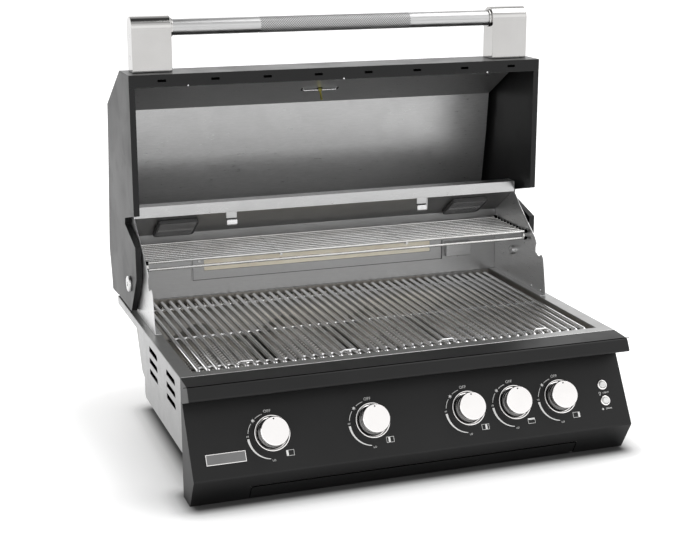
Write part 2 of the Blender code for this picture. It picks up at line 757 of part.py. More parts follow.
# Gas manifold: a pipe behind the panel, five valve bodies and the inlet run
def gas_manifold():
    centre = panel_matrix(0, KNOB_LINE, -MANIFOLD_DEPTH_IN).translation
    run_x = (HALF_OPENING + HALF_TOP) / 2
    bend = 2 * MANIFOLD_RADIUS
    start = KNOB_XS[0] - MANIFOLD_END
    elbow = [(run_x - bend + bend * math.sin(step * math.pi / 6),
              centre.y + bend - bend * math.cos(step * math.pi / 6), centre.z) for step in range(4)]
    path = [(start, centre.y, centre.z), *elbow, (run_x, FRONT_Y + INLET_DEPTH, centre.z)]
    pipe = wires("gas_manifold", [path], MANIFOLD_RADIUS, resolution=2)
    for index, x in enumerate(KNOB_XS):
        back = panel_matrix(x, KNOB_LINE, -MANIFOLD_DEPTH_IN).translation
        front = panel_matrix(x, KNOB_LINE, -VALVE_FRONT).translation
        fuse(pipe, rod(f"valve_body_{index + 1}", VALVE_RADIUS, back, front, 12))
    for index, x in enumerate(BURNER_XS):
        valve = panel_matrix(x, KNOB_LINE, -(MANIFOLD_DEPTH_IN + VALVE_FRONT) / 2).translation
        level = TOP_HEIGHT - BURNER_DROP
        start = (x, valve.y, level)
        tip = (x, FRONT_Y + NOZZLE_REACH, level)
        fuse(pipe, rod(f"nozzle_{index + 1}", NOZZLE_RADIUS, start, tip, 8))
    wall_y = FRONT_Y + FRONT_STRIP - SHEET
    for index, knob_index in enumerate((0, 2, 4)):
        x = KNOB_XS[knob_index] + KNOB_PITCH / 2
        low = (x - MANIFOLD_RADIUS, centre.y, centre.z)
        high = (x + MANIFOLD_RADIUS, wall_y, centre.z + MANIFOLD_RADIUS - EMBED)
        fuse(pipe, block(f"manifold_bracket_{index + 1}", low, high))
    for index, x in enumerate(KNOB_XS):
        front = panel_matrix(x, KNOB_LINE, -VALVE_FRONT + OVERRUN).translation
        back = panel_matrix(x, KNOB_LINE, -STEM_DEPTH - PUSH_TRAVEL - GAP).translation
        cut(pipe, rod(f"stem_bore_{index + 1}", STEM_RADIUS + GAP, front, back, 12))
    end = FRONT_Y + INLET_DEPTH
    cut(pipe, rod("inlet_bore", INLET_BORE, (run_x, end + OVERRUN, centre.z),
                  (run_x, end - INLET_BORE_DEPTH, centre.z), 12))
    return pipe


# Tube burners, closed behind and open at the mouth
def burner(number, x):
    length = BURNER_REAR_DEPTH - BURNER_MOUTH_DEPTH
    shoulder = BURNER_FRONT_DEPTH - BURNER_MOUTH_DEPTH
    wall = THIN_SHEET
    profile = [
        (0, length),
        (BURNER_RADIUS, length),
        (BURNER_RADIUS, shoulder + BURNER_SHOULDER),
        (BURNER_NECK_RADIUS, shoulder),
        (BURNER_NECK_RADIUS, 0),
        (BURNER_NECK_RADIUS - wall, 0),
        (BURNER_NECK_RADIUS - wall, shoulder + wall),
        (BURNER_RADIUS - wall, shoulder + BURNER_SHOULDER + wall),
        (BURNER_RADIUS - wall, length - wall),
        (0, length - wall),
    ]
    mouth = Vector((x, FRONT_Y + BURNER_MOUTH_DEPTH, TOP_HEIGHT - BURNER_DROP))
    place = Matrix.Translation(mouth) @ Matrix.Rotation(-math.pi / 2, 4, "X")
    return turned(f"burner_{number}", profile, 14, place)


# Flame tamers, bent sheets like low roofs over the burners
def flame_tamer(number, x):
    roof = [
        (x - TAMER_WIDTH / 2, TOP_HEIGHT - TAMER_EDGE_DROP),
        (x - TAMER_TOP_WIDTH / 2, TOP_HEIGHT - TAMER_TOP_DROP),
        (x + TAMER_TOP_WIDTH / 2, TOP_HEIGHT - TAMER_TOP_DROP),
        (x + TAMER_WIDTH / 2, TOP_HEIGHT - TAMER_EDGE_DROP),
    ]
    outline = roof + shifted(roof, -THIN_SHEET, closed=False)[::-1]
    front = FRONT_Y + FRONT_STRIP + SHEET + RUNNING_GAP
    return cross_prism(f"flame_tamer_{number}", outline, front, FRONT_Y + TAMER_REAR_DEPTH)


# Firebox: walls, a funnel floor open to the tray, and inner rests
def funnel_side(grow, top, over):
    front = FRONT_STRIP + GAP - grow
    rear = OPENING_REAR + SHEET + grow
    knee = rear - FIREBOX_REAR_RUN
    front_slope = (FIREBOX_FLOOR_FRONT - FRONT_STRIP) / (FIREBOX_DROP - FIREBOX_SHOULDER)
    rear_slope = (OPENING_REAR - FIREBOX_REAR_RUN - FIREBOX_FLOOR_REAR) / (FIREBOX_DROP - FIREBOX_REAR_KNEE)
    return [
        (front, top),
        (front, -FIREBOX_SHOULDER),
        (FIREBOX_FLOOR_FRONT - grow + over * front_slope, -FIREBOX_DROP - over),
        (FIREBOX_FLOOR_REAR + grow - over * rear_slope, -FIREBOX_DROP - over),
        (knee, -FIREBOX_REAR_KNEE),
        (rear, -FIREBOX_REAR_DROP),
        (rear, top),
    ]


def funnel_front(grow, rim, over):
    half = HALF_OPENING + GAP + grow
    low = HALF_HOUSING - HOUSING_LIP / 2 + grow
    slope = (half - low) / (FIREBOX_DROP - FIREBOX_SHOULDER)
    top = TOP_HEIGHT + rim
    bottom = TOP_HEIGHT - FIREBOX_DROP - over
    shoulder = TOP_HEIGHT - FIREBOX_SHOULDER + EMBED
    low -= over * slope
    return [(-half, top), (-half, shoulder), (-low, bottom), (low, bottom), (half, shoulder), (half, top)]


def funnel(name, grow, top, over):
    reach = HALF_OPENING + FIREBOX_FLANGE
    body = prism(name, world(funnel_side(grow, top, over)), -reach, reach)
    across = cross_prism(f"{name}_across", funnel_front(grow, top, over), FRONT_Y, FRONT_Y + TOP_DEPTH)
    return combine(body, across, "INTERSECT")


def firebox_shell():
    reach = HALF_OPENING + FIREBOX_FLANGE
    shell = funnel("firebox_shell", SHEET, -SHEET - GAP - EMBED, 0)
    rim_top = TOP_HEIGHT - SHEET - GAP
    fuse(shell, block("firebox_rim", (-reach, FRONT_Y + FRONT_STRIP - FIREBOX_FLANGE, rim_top - SHEET),
                      (reach, FRONT_Y + OPENING_REAR + FIREBOX_FLANGE, rim_top)))
    cut(shell, funnel("funnel_inside", 0, OVERRUN - SHEET - GAP, OVERRUN))
    for rest in firebox_rests():
        fuse(shell, rest)
    for index, x in enumerate(BURNER_XS):
        level = TOP_HEIGHT - BURNER_DROP
        hole = rod(f"burner_hole_{index + 1}", BURNER_NECK_RADIUS + GAP, (x, FRONT_Y, level),
                   (x, FRONT_Y + FRONT_STRIP + OVERRUN, level))
        cut(shell, hole)
    return shell


def rest_bar(name, front, rear, top):
    reach = HALF_OPENING + GAP + EMBED
    low = (-reach, FRONT_Y + front, TOP_HEIGHT + top - REST_THICKNESS)
    return block(name, low, (reach, FRONT_Y + rear, TOP_HEIGHT + top))


def firebox_rests():
    front = FRONT_STRIP + GAP - EMBED
    rear = OPENING_REAR + SHEET + EMBED
    slope = FIREBOX_REAR_RUN / (FIREBOX_REAR_KNEE - FIREBOX_REAR_DROP)
    tamer_rear = rear - slope * (TAMER_EDGE_DROP + REST_THICKNESS - FIREBOX_REAR_DROP)
    grate_top = BAR_FOOT - GAP
    tamer_top = -TAMER_EDGE_DROP - THIN_SHEET - GAP
    burner_top = -BURNER_DROP - BURNER_RADIUS - GAP
    return [
        rest_bar("grate_rest_front", front, BAR_FRONT_DEPTH + REST_WIDTH, grate_top),
        rest_bar("grate_rest_rear", BAR_REAR_DEPTH - REST_WIDTH, rear, grate_top),
        rest_bar("tamer_rest_front", front, front + REST_WIDTH, tamer_top),
        rest_bar("tamer_rest_rear", tamer_rear - REST_WIDTH - REST_THICKNESS, tamer_rear, tamer_top),
        burner_rest(burner_top),
    ]


def burner_rest(top):
    half = HALF_OPENING + GAP
    slope = (half - HALF_HOUSING + HOUSING_LIP / 2) / (FIREBOX_DROP - FIREBOX_SHOULDER)
    reach = half + (top - REST_THICKNESS / 2 + FIREBOX_SHOULDER) * slope + SHEET / 2
    low = (-reach, FRONT_Y + BURNER_REAR_DEPTH - 2 * REST_WIDTH, TOP_HEIGHT + top - REST_THICKNESS)
    high = (reach, FRONT_Y + BURNER_REAR_DEPTH - REST_WIDTH, TOP_HEIGHT + top)
    return block("burner_rest", low, high)


# Tray housing: the floor channel that carries and guides the grease tray
def tray_housing():
    half = HALF_HOUSING
    top = TOP_HEIGHT - FIREBOX_DROP - GAP
    profile = [
        (-half + HOUSING_LIP, top - THIN_SHEET),
        (-half + THIN_SHEET, top - THIN_SHEET),
        (-half + THIN_SHEET, THIN_SHEET),
        (half - THIN_SHEET, THIN_SHEET),
        (half - THIN_SHEET, top - THIN_SHEET),
        (half - HOUSING_LIP, top - THIN_SHEET),
    ]
    outline = profile + shifted(profile, -THIN_SHEET, closed=False)[::-1]
    housing = cross_prism("tray_housing", outline, FRONT_Y + GAP, FRONT_Y + HOUSING_REAR_DEPTH)
    rear = FRONT_Y + HOUSING_REAR_DEPTH
    low = (-half + EMBED, rear - THIN_SHEET, EMBED)
    back = block("housing_back", low, (half - EMBED, rear, top - EMBED))
    return fuse(housing, back)


# Grease tray and its slanted front
def grease_tray():
    floor = -TOP_HEIGHT + SHEET + 2 * GAP
    top = floor + TRAY_HEIGHT
    rear = HOUSING_REAR_DEPTH - TRAY_REAR_GAP
    back_of_front = SHEET + GAP
    front_low, _ = bevel_place(tray_down(floor, back_of_front), back_of_front)
    front_high, _ = bevel_place(tray_down(top, back_of_front), back_of_front)
    outline = [(front_low, floor), (rear, floor), (rear, top), (front_high, top)]
    half = min(HALF_HOUSING - THIN_SHEET, HALF_TRAY_FRONT) - RUNNING_GAP
    tray = prism("grease_tray", world(outline), -half, half)
    inner = shifted(outline, THIN_SHEET)
    rise = (inner[3][0] - inner[0][0]) / (inner[3][1] - inner[0][1])
    inner[2] = (inner[2][0], top + OVERRUN)
    inner[3] = (inner[3][0] + rise * (top + OVERRUN - inner[3][1]), top + OVERRUN)
    hollow = prism("tray_hollow", world(inner), -half + THIN_SHEET, half - THIN_SHEET)
    return cut(tray, hollow)


# How far down the bevel a place of a given height lies, some way behind its face
def tray_down(height, inward):
    crease_height = CREASE[1] + inward * math.sin(BEVEL_ANGLE)
    return (crease_height - height) / math.cos(BEVEL_ANGLE)


def tray_front():
    length = math.hypot(BEVEL_RUN, BEVEL_DROP)
    half = HALF_TRAY_FRONT
    low = (-half, -length + TRAY_FRONT_FOOT, -SHEET)
    high = (half, -TRAY_FRONT_TOP, 0)
    return block("tray_front", low, high, bevel_matrix(0, 0, 0))


# Cooking grates: square bars with turned down ends on three cross rods
def cooking_grate(number):
    middle = (number - (GRATE_COUNT + 1) / 2) * GRATE_WIDTH
    axis = TOP_HEIGHT + BAR_AXIS
    foot = TOP_HEIGHT + BAR_FOOT
    front = FRONT_Y + BAR_FRONT_DEPTH
    rear = FRONT_Y + BAR_REAR_DEPTH
    paths = []
    for bar in range(BARS_PER_GRATE):
        x = middle + (bar - (BARS_PER_GRATE - 1) / 2) * BAR_PITCH
        paths.append([
            (x, front, foot), (x, front, axis - BAR_BEND), (x, front + BAR_BEND, axis),
            (x, rear - BAR_BEND, axis), (x, rear, axis - BAR_BEND), (x, rear, foot),
        ])
    reach = BAR_THICKNESS / math.sqrt(2)
    grate = wires(f"cooking_grate_{number}", paths, reach, resolution=0, tilt=math.pi / 4)
    half = (GRATE_WIDTH - BAR_PITCH + BAR_THICKNESS) / 2 - EMBED
    top = axis - BAR_THICKNESS / 2 + EMBED * 2
    for index, share in enumerate(CROSS_ROD_SHARES):
        depth = front + share * (rear - front)
        low = (middle - half, depth - CROSS_ROD / 2, top - CROSS_ROD)
        high = (middle + half, depth + CROSS_ROD / 2, top)
        fuse(grate, block(f"cross_rod_{number}_{index + 1}", low, high))
    tab_front = front + BAR_THICKNESS / 2 + RUNNING_GAP
    low = (middle - BAR_PITCH, tab_front, axis - BAR_THICKNESS / 3)
    high = (middle + BAR_PITCH, tab_front + LIFT_TAB_LENGTH, axis + BAR_THICKNESS / 3)
    return fuse(grate, block(f"lift_tab_{number}", low, high))


# Raised firebox sides with the spit cradle and the rack's tabs
def cheek_outline():
    hood_depth, hood_height = HOOD_FRONT
    start = CHEEK_FRONT_DEPTH
    lip_top = hood_height + HOOD_LIP
    lip_depth = hood_depth - SHEET
    lip_low = hood_height - SHEET
    back = lip_depth + HOOD_TOP_RUN
    edge = [(start + (lip_depth - start) * across, lip_low * up) for across, up in CHEEK_EDGE_SHARES]
    return [
        *edge,
        (lip_depth, lip_low),
        (lip_depth, lip_top),
        (back, lip_top),
        (back + HOOD_SLOPE_RUN, lip_top - HOOD_SLOPE_DROP),
        (COVER_DEPTH, COVER_SHOULDER),
        (COVER_DEPTH, GAP),
        (start, GAP),
    ]


def firebox_cheek(name, side):
    low_x, high_x = sorted((side * CHEEK_X, side * (CHEEK_X + SHEET)))
    cheek = prism(name, world(cheek_outline()), low_x, high_x)
    inner, outer = sorted((side * (CHEEK_X - CHEEK_FLANGE), side * (CHEEK_X + EMBED)))
    base = TOP_HEIGHT + GAP
    fuse(cheek, block(f"{name}_foot", (inner, FRONT_Y + CHEEK_FRONT_DEPTH, base),
                      (outer, FRONT_Y + OPENING_REAR - GAP, base + SHEET)))
    rack_low = TOP_HEIGHT + rack_rod_height() - RACK_ROD_RADIUS - GAP
    tab_in, tab_out = sorted((side * (CHEEK_X - RACK_TAB), side * (CHEEK_X + EMBED)))
    last = RACK_FRONT_DEPTH + (RACK_WIRES + 1) * RACK_WIRE_PITCH
    for index, depth in enumerate((RACK_FRONT_DEPTH + RACK_WIRE_PITCH, last - 2 * RACK_WIRE_PITCH)):
        low = (tab_in, FRONT_Y + depth, rack_low - SHEET)
        high = (tab_out, FRONT_Y + depth + RACK_WIRE_PITCH, rack_low)
        fuse(cheek, block(f"{name}_tab_{index + 1}", low, high))
    pivot_y = FRONT_Y + PIVOT_DEPTH
    pivot_z = TOP_HEIGHT + PIVOT_HEIGHT
    hole = rod(f"{name}_hole", BOLT_RADIUS + GAP, (low_x - OVERRUN, pivot_y, pivot_z),
               (high_x + OVERRUN, pivot_y, pivot_z))
    return cut(cheek, hole)


# Rear wall with the hood's underside and clips, open where the rear burner passes
def burner_box_half():
    return HALF_CERAMIC + REAR_BURNER_EDGE


def rear_wall():
    half = CHEEK_X - GAP
    profile = [(WALL_DEPTH, GAP), (WALL_DEPTH, WALL_HEIGHT), HOOD_FRONT]
    wall = folded("rear_wall", world(profile), -half, half, -SHEET)
    wide = burner_box_half() + RUNNING_GAP
    face_y = FRONT_Y + WALL_DEPTH
    low = CERAMIC_LOW - REAR_BURNER_EDGE - RUNNING_GAP
    high = CERAMIC_HIGH + REAR_BURNER_EDGE + RUNNING_GAP
    cut(wall, block("burner_window", (-wide, face_y - OVERRUN, TOP_HEIGHT + low),
                    (wide, face_y + OVERRUN, TOP_HEIGHT + high)))
    fuse(wall, block("igniter_cover", (IGNITER_LEFT, face_y - IGNITER_DEEP, TOP_HEIGHT + IGNITER_LOW),
                     (IGNITER_LEFT + IGNITER_WIDTH, face_y + EMBED, TOP_HEIGHT + IGNITER_HIGH)))
    lip_y = FRONT_Y + HOOD_FRONT[0] + GAP
    lip_z = TOP_HEIGHT + HOOD_FRONT[1]
    for index, x in enumerate(CLIP_XS):
        fuse(wall, block(f"hood_clip_{index + 1}", (x - CLIP_WIDTH / 2, lip_y, lip_z - CLIP_DROP),
                         (x + CLIP_WIDTH / 2, lip_y + SHEET, lip_z)))
    return wall


# Rear cover: hood lip, hood top, slope, back and foot, in one folded sheet
def rear_cover():
    half = CHEEK_X - GAP
    hood_depth, hood_height = HOOD_FRONT
    lip_top = hood_height + HOOD_LIP
    lip_depth = hood_depth - SHEET
    back = lip_depth + HOOD_TOP_RUN
    profile = [
        (lip_depth, hood_height - SHEET),
        (lip_depth, lip_top),
        (back, lip_top),
        (back + HOOD_SLOPE_RUN, lip_top - HOOD_SLOPE_DROP),
        (COVER_DEPTH, COVER_SHOULDER),
        (COVER_DEPTH, GAP + THIN_SHEET),
        (COVER_DEPTH + COVER_FOOT, GAP + THIN_SHEET),
    ]
    return folded("rear_cover", world(profile), -half, half, -THIN_SHEET)


def lamp(name, side):
    low = (-LAMP_WIDTH / 2, LAMP_LOW_MARGIN, GAP)
    high = (LAMP_WIDTH / 2, LAMP_LOW_MARGIN + LAMP_LENGTH, LAMP_HEIGHT)
    return block(name, low, high, hood_matrix(side * LAMP_X, 0, 0))


# Rear infrared burner: a face plate on the wall, a box behind it and its ceramic strip
def rear_burner():
    half = HALF_REAR_BURNER
    face_y = FRONT_Y + WALL_DEPTH - GAP - SHEET
    back_y = face_y + REAR_BURNER_BOX
    plate = block("rear_burner", (-half, face_y, TOP_HEIGHT + REAR_BURNER_LOW),
                  (half, face_y + SHEET, TOP_HEIGHT + REAR_BURNER_HIGH))
    inside = burner_box_half()
    low = TOP_HEIGHT + CERAMIC_LOW - REAR_BURNER_EDGE
    high = TOP_HEIGHT + CERAMIC_HIGH + REAR_BURNER_EDGE
    fuse(plate, block("burner_box", (-inside, face_y + SHEET / 2, low), (inside, back_y, high)))
    wide = HALF_CERAMIC + GAP
    pocket_low = (-wide, face_y - OVERRUN, TOP_HEIGHT + CERAMIC_LOW - GAP)
    pocket_high = (wide, face_y + CERAMIC_DEEP + GAP, TOP_HEIGHT + CERAMIC_HIGH + GAP)
    cut(plate, block("ceramic_pocket", pocket_low, pocket_high))
    hollow_low = (-wide + SHEET, face_y + CERAMIC_DEEP, TOP_HEIGHT + CERAMIC_LOW + SHEET)
    hollow_high = (wide - SHEET, back_y - SHEET, TOP_HEIGHT + CERAMIC_HIGH - SHEET)
    return cut(plate, block("burner_plenum", hollow_low, hollow_high))


def rear_ceramic():
    face_y = FRONT_Y + WALL_DEPTH - GAP - SHEET
    half = HALF_CERAMIC
    return block("rear_burner_ceramic", (-half, face_y + GAP, TOP_HEIGHT + CERAMIC_LOW),
                 (half, face_y + CERAMIC_DEEP, TOP_HEIGHT + CERAMIC_HIGH))


# Warming rack: wires on four cross rods that turn down to a lower front rail
def rack_rod_height():
    return RACK_HEIGHT - RACK_WIRE_RADIUS - RACK_ROD_RADIUS / 2


def warming_rack():
    half = HALF_RACK
    level = TOP_HEIGHT + RACK_HEIGHT
    front = FRONT_Y + RACK_FRONT_DEPTH
    paths = []
    for wire in range(1, RACK_WIRES + 1):
        y = front + wire * RACK_WIRE_PITCH
        paths.append([(-half, y, level), (half, y, level)])
    rack = wires("warming_rack", paths, RACK_WIRE_RADIUS)
    rear = front + (RACK_WIRES + 1) * RACK_WIRE_PITCH
    places = ((front, level), (front, level - RACK_RAIL_DROP), (rear, level))
    rails = [[(-half, y, z), (half, y, z)] for y, z in places]
    fuse(rack, wires("rack_rails", rails, RACK_RAIL_RADIUS))
    rods = []
    under = TOP_HEIGHT + rack_rod_height()
    for index in range(RACK_ROD_COUNT):
        x = (half - RACK_ROD_INSET) * (2 * index / (RACK_ROD_COUNT - 1) - 1)
        bend = (x, front + RACK_RAIL_RADIUS, under)
        rods.append([(x, rear, under), bend, (x, front, level - RACK_RAIL_DROP)])
    return fuse(rack, wires("rack_rods", rods, RACK_ROD_RADIUS))


# Lid outline in its closed position
def lid_profile():
    y = LID_FRONT_DEPTH
    z = LID_BOTTOM
    steps = [
        (0, LID_FRONT_HEIGHT), (CHAMFER_RUN, CHAMFER_RISE), (LID_TOP_RUN, LID_TOP_RISE),
        (LID_CROWN_RUN, LID_CROWN_RISE), (LID_BACK_RUN, -LID_BACK_FALL), (LID_REAR_RUN, -LID_REAR_FALL),
        (-LID_REAR_FALL, -LID_REAR_FLANGE),
    ]
    points = [(y, z)]
    for run, rise in steps:
        y += run
        z += rise
        points.append((y, z))
    return points


def lid_shell():
    points = lid_profile()
    profile = [(LID_FRONT_DEPTH + LID_LIP, LID_BOTTOM), *points]
    shell = folded("lid_shell", on_lid(profile), -HALF_LID, HALF_LID, -THIN_SHEET)
    centre = LID_FRONT_DEPTH + LID_LIP / 2
    (y, z), = on_lid([(centre, LID_BOTTOM)])
    for index in range(LID_SLOTS):
        x = (index - (LID_SLOTS - 1) / 2) * LID_SLOT_PITCH
        slot = block(f"lid_slot_{index + 1}", (x - LID_SLOT_LENGTH / 2, y - LID_SLOT_WIDTH / 2, z - OVERRUN),
                     (x + LID_SLOT_LENGTH / 2, y + LID_SLOT_WIDTH / 2, z + OVERRUN))
        cut(shell, slot)
    stem = chamfer_matrix()
    start = stem @ Vector((0, 0, OVERRUN))
    hole = rod("gauge_hole", GAUGE_STEM_RADIUS + GAP, start, stem @ Vector((0, 0, -OVERRUN)))
    return cut(shell, hole)


def lid_side_outline():
    shell = shifted(lid_profile(), -THIN_SHEET - GAP, closed=False)
    shell[0] = (shell[0][0], LID_BOTTOM + THIN_SHEET + GAP)
    rear = shell[-1][0]
    free = [
        (rear, LID_REAR_CUT_HEIGHT),
        (rear - LID_REAR_CUT_RUN, LID_HEEL_HEIGHT),
        (SPIT_NOTCH_REAR, LID_HEEL_HEIGHT),
        (SPIT_NOTCH_APEX, SPIT_NOTCH_HEIGHT),
        (SPIT_NOTCH_NOSE, SPIT_NOTCH_HEIGHT - SPIT_NOTCH_STEP),
        (SPIT_NOTCH_FRONT, LID_BOTTOM),
        (LID_FRONT_DEPTH + LID_LIP + GAP, LID_BOTTOM),
        (LID_FRONT_DEPTH + LID_LIP + GAP, LID_BOTTOM + THIN_SHEET + GAP),
    ]
    return shell + free


def lid_side(name, side):
    outline = lid_side_outline()
    low_x, high_x = sorted((side * HALF_LID, side * (HALF_LID - THIN_SHEET - LID_SIDE_FLANGE)))
    plate = prism(name, on_lid(outline), low_x, high_x)
    inner_low, inner_high = sorted((side * (HALF_LID - THIN_SHEET),
                                    side * (HALF_LID - THIN_SHEET - LID_SIDE_FLANGE - OVERRUN)))
    inner = shifted(outline, -THIN_SHEET)
    cut(plate, prism(f"{name}_hollow", on_lid(inner), inner_low, inner_high))
    start = (low_x - OVERRUN, 0, 0)
    return cut(plate, rod(f"{name}_hole", BOLT_RADIUS + GAP, start, (high_x + OVERRUN, 0, 0)))


# Liner: an inner skin some way below the shell, its front and rear edges turned out to reach it
def lid_liner():
    outer = [Vector(point) for point in lid_profile()]
    deep = shifted(lid_profile(), -THIN_SHEET - LINER_INSET, closed=False)
    chamfer = (outer[2] - outer[1]).normalized()
    crown = (outer[4] - outer[3]).normalized()
    front = outer[1] + chamfer * LINER_FRONT_MARGIN
    rear = outer[4] - crown * LINER_REAR_MARGIN
    chamfer_in = Vector((chamfer.y, -chamfer.x))
    crown_in = Vector((crown.y, -crown.x))
    skin = THIN_SHEET + GAP
    profile = [
        tuple(front + chamfer_in * skin),
        tuple(front + chamfer_in * (THIN_SHEET + LINER_INSET)),
        deep[2],
        deep[3],
        tuple(rear + crown_in * (THIN_SHEET + LINER_INSET)),
        tuple(rear + crown_in * skin),
    ]
    half = HALF_LID - THIN_SHEET - LID_SIDE_FLANGE - GAP
    liner = folded("lid_liner", on_lid(profile), -half, half, -THIN_SHEET)
    stem = chamfer_matrix()
    return cut(liner, rod("liner_hole", GAUGE_STEM_RADIUS + GAP, stem @ Vector((0, 0, -LINER_INSET / 2)),
                          stem @ Vector((0, 0, -LINER_INSET * 2))))


# Shoulder bolts that carry the lid
def hinge_bolt(name, side):
    plate_inner = HALF_LID - THIN_SHEET - GAP
    plate_outer = HALF_LID + GAP
    cheek_inner = CHEEK_X - GAP
    cheek_outer = CHEEK_X + SHEET + GAP
    profile = [
        (0, plate_outer + BOLT_HEAD),
        (BOLT_HEAD_RADIUS - BOLT_CHAMFER, plate_outer + BOLT_HEAD),
        (BOLT_HEAD_RADIUS, plate_outer + BOLT_HEAD - BOLT_CHAMFER),
        (BOLT_HEAD_RADIUS, plate_outer),
        (BOLT_RADIUS, plate_outer),
        (BOLT_RADIUS, plate_inner),
        (BOLT_SHOULDER_RADIUS, plate_inner),
        (BOLT_SHOULDER_RADIUS, cheek_outer),
        (BOLT_RADIUS, cheek_outer),
        (BOLT_RADIUS, cheek_inner),
        (BOLT_NUT_RADIUS, cheek_inner),
        (BOLT_NUT_RADIUS, cheek_inner - BOLT_NUT),
        (0, cheek_inner - BOLT_NUT),
    ]
    place = Vector((0, FRONT_Y + PIVOT_DEPTH, TOP_HEIGHT + PIVOT_HEIGHT))
    return turned(name, profile, 16, Matrix.Translation(place) @ Matrix.Rotation(side * math.pi / 2, 4, "Y"))


# Handle: two hollow posts and a tube between them
def handle_post(name, side):
    depth = HANDLE_DEPTH
    height = HANDLE_HEIGHT
    half = POST_THICKNESS / 2
    foot = LID_FRONT_DEPTH - GAP
    turn = [(depth - half * math.sin(math.pi * step / 8), height + half * math.cos(math.pi * step / 8))
            for step in range(9)]
    outline = [(foot, height - half), (foot, height + half), *turn]
    low_x, high_x = sorted((side * POST_INNER_X, side * (POST_INNER_X + POST_WIDTH)))
    post = prism(name, on_lid(outline), low_x, high_x)
    (y, z), = on_lid([(depth, height)])
    collar = rod(f"{name}_collar", COLLAR_RADIUS, (side * (POST_INNER_X - COLLAR_LENGTH), y, z),
                 (side * (POST_INNER_X + EMBED), y, z), 24)
    fuse(post, collar)
    (back, _), = on_lid([(foot, height)])
    hollow = block(f"{name}_hollow", (low_x + POST_WALL, y + half, z - half + POST_WALL),
                   (high_x - POST_WALL, back + OVERRUN, z + half - POST_WALL))
    cut(post, hollow)
    socket = rod(f"{name}_socket", HANDLE_RADIUS + GAP, (side * (POST_INNER_X - 2 * COLLAR_LENGTH), y, z),
                 (side * (POST_INNER_X + HANDLE_SEAT + GAP), y, z), 24)
    return cut(post, socket)


def handle_tube():
    (y, z), = on_lid([(HANDLE_DEPTH, HANDLE_HEIGHT)])
    half = POST_INNER_X + HANDLE_SEAT
    inner = HANDLE_RADIUS - HANDLE_WALL
    profile = [(inner, half), (HANDLE_RADIUS, half), (HANDLE_RADIUS, -half), (inner, -half)]
    place = Matrix.Translation((0, y, z)) @ Matrix.Rotation(math.pi / 2, 4, "Y")
    return turned("handle_tube", profile, 24, place, closed=True)


# Thermometer on the lid's slanted front: dial case, stem, inner strap and probe
def thermometer():
    recess = GAP + GAUGE_HEIGHT - GAUGE_RECESS
    liner_inside = -2 * THIN_SHEET - LINER_INSET
    strap_top = liner_inside - GAP
    stem_end = strap_top - SHEET - GAUGE_STEM_EXTRA
    profile = [
        (0, recess),
        (GAUGE_RADIUS - GAUGE_RIM, recess),
        (GAUGE_RADIUS - GAUGE_RIM, GAP + GAUGE_HEIGHT),
        (GAUGE_RADIUS, GAP + GAUGE_HEIGHT),
        (GAUGE_RADIUS, GAP),
        (GAUGE_STEM_RADIUS, GAP),
        (GAUGE_STEM_RADIUS, stem_end),
        (GAUGE_PROBE_RADIUS, stem_end),
        (GAUGE_PROBE_RADIUS, stem_end - GAUGE_PROBE_LENGTH),
        (0, stem_end - GAUGE_PROBE_LENGTH),
    ]
    gauge = turned("thermometer", profile, 24, chamfer_matrix())
    strap = block("gauge_strap", (-GAUGE_STRAP_WIDTH / 2, -GAUGE_STRAP_HEIGHT / 2, strap_top - SHEET),
                  (GAUGE_STRAP_WIDTH / 2, GAUGE_STRAP_HEIGHT / 2, strap_top), chamfer_matrix())
    return fuse(gauge, strap)


def gauge_needle():
    base = 2 * GAP + GAUGE_HEIGHT - GAUGE_RECESS
    place = chamfer_matrix() @ Matrix.Rotation(math.radians(NEEDLE_REST_DEGREES), 4, "Z")
    profile = [
        (0, base + NEEDLE_WIDTH),
        (NEEDLE_HUB_RADIUS, base + NEEDLE_WIDTH),
        (NEEDLE_HUB_RADIUS, base),
        (0, base),
    ]
    hub = turned("gauge_needle", profile, 12, place)
    pointer = block("needle_pointer", (-NEEDLE_WIDTH / 2, 0, base + EMBED),
                    (NEEDLE_WIDTH / 2, NEEDLE_LENGTH, base + NEEDLE_WIDTH - EMBED), place)
    return fuse(hub, pointer)


def lid_pivot():
    pivot = bpy.data.objects.new("lid_pivot", None)
    PARTS.objects.link(pivot)
    pivot.location = (0, FRONT_Y + PIVOT_DEPTH, TOP_HEIGHT + PIVOT_HEIGHT)
    pivot.rotation_euler = (-math.radians(LID_OPEN_DEGREES), 0, 0)
    return pivot


def build_lid(steel, black, chrome):
    shell = lid_shell()
    sides = [lid_side("lid_side_left", -1), lid_side("lid_side_right", 1)]
    liner = lid_liner()
    posts = [handle_post("handle_post_left", -1), handle_post("handle_post_right", 1)]
    tube = handle_tube()
    gauge = thermometer()
    needle = gauge_needle()
    paint([shell, *sides, needle], black)
    paint([liner], steel)
    paint([*posts, tube, gauge], chrome)
    pivot = lid_pivot()
    pieces = [shell, *sides, liner, *posts, tube, gauge, needle]
    steps = [modifier for piece in pieces for modifier in piece.modifiers]
    cutters = [modifier.object for modifier in steps if modifier.type == "BOOLEAN"]
    for piece in pieces + cutters:
        piece.parent = pivot


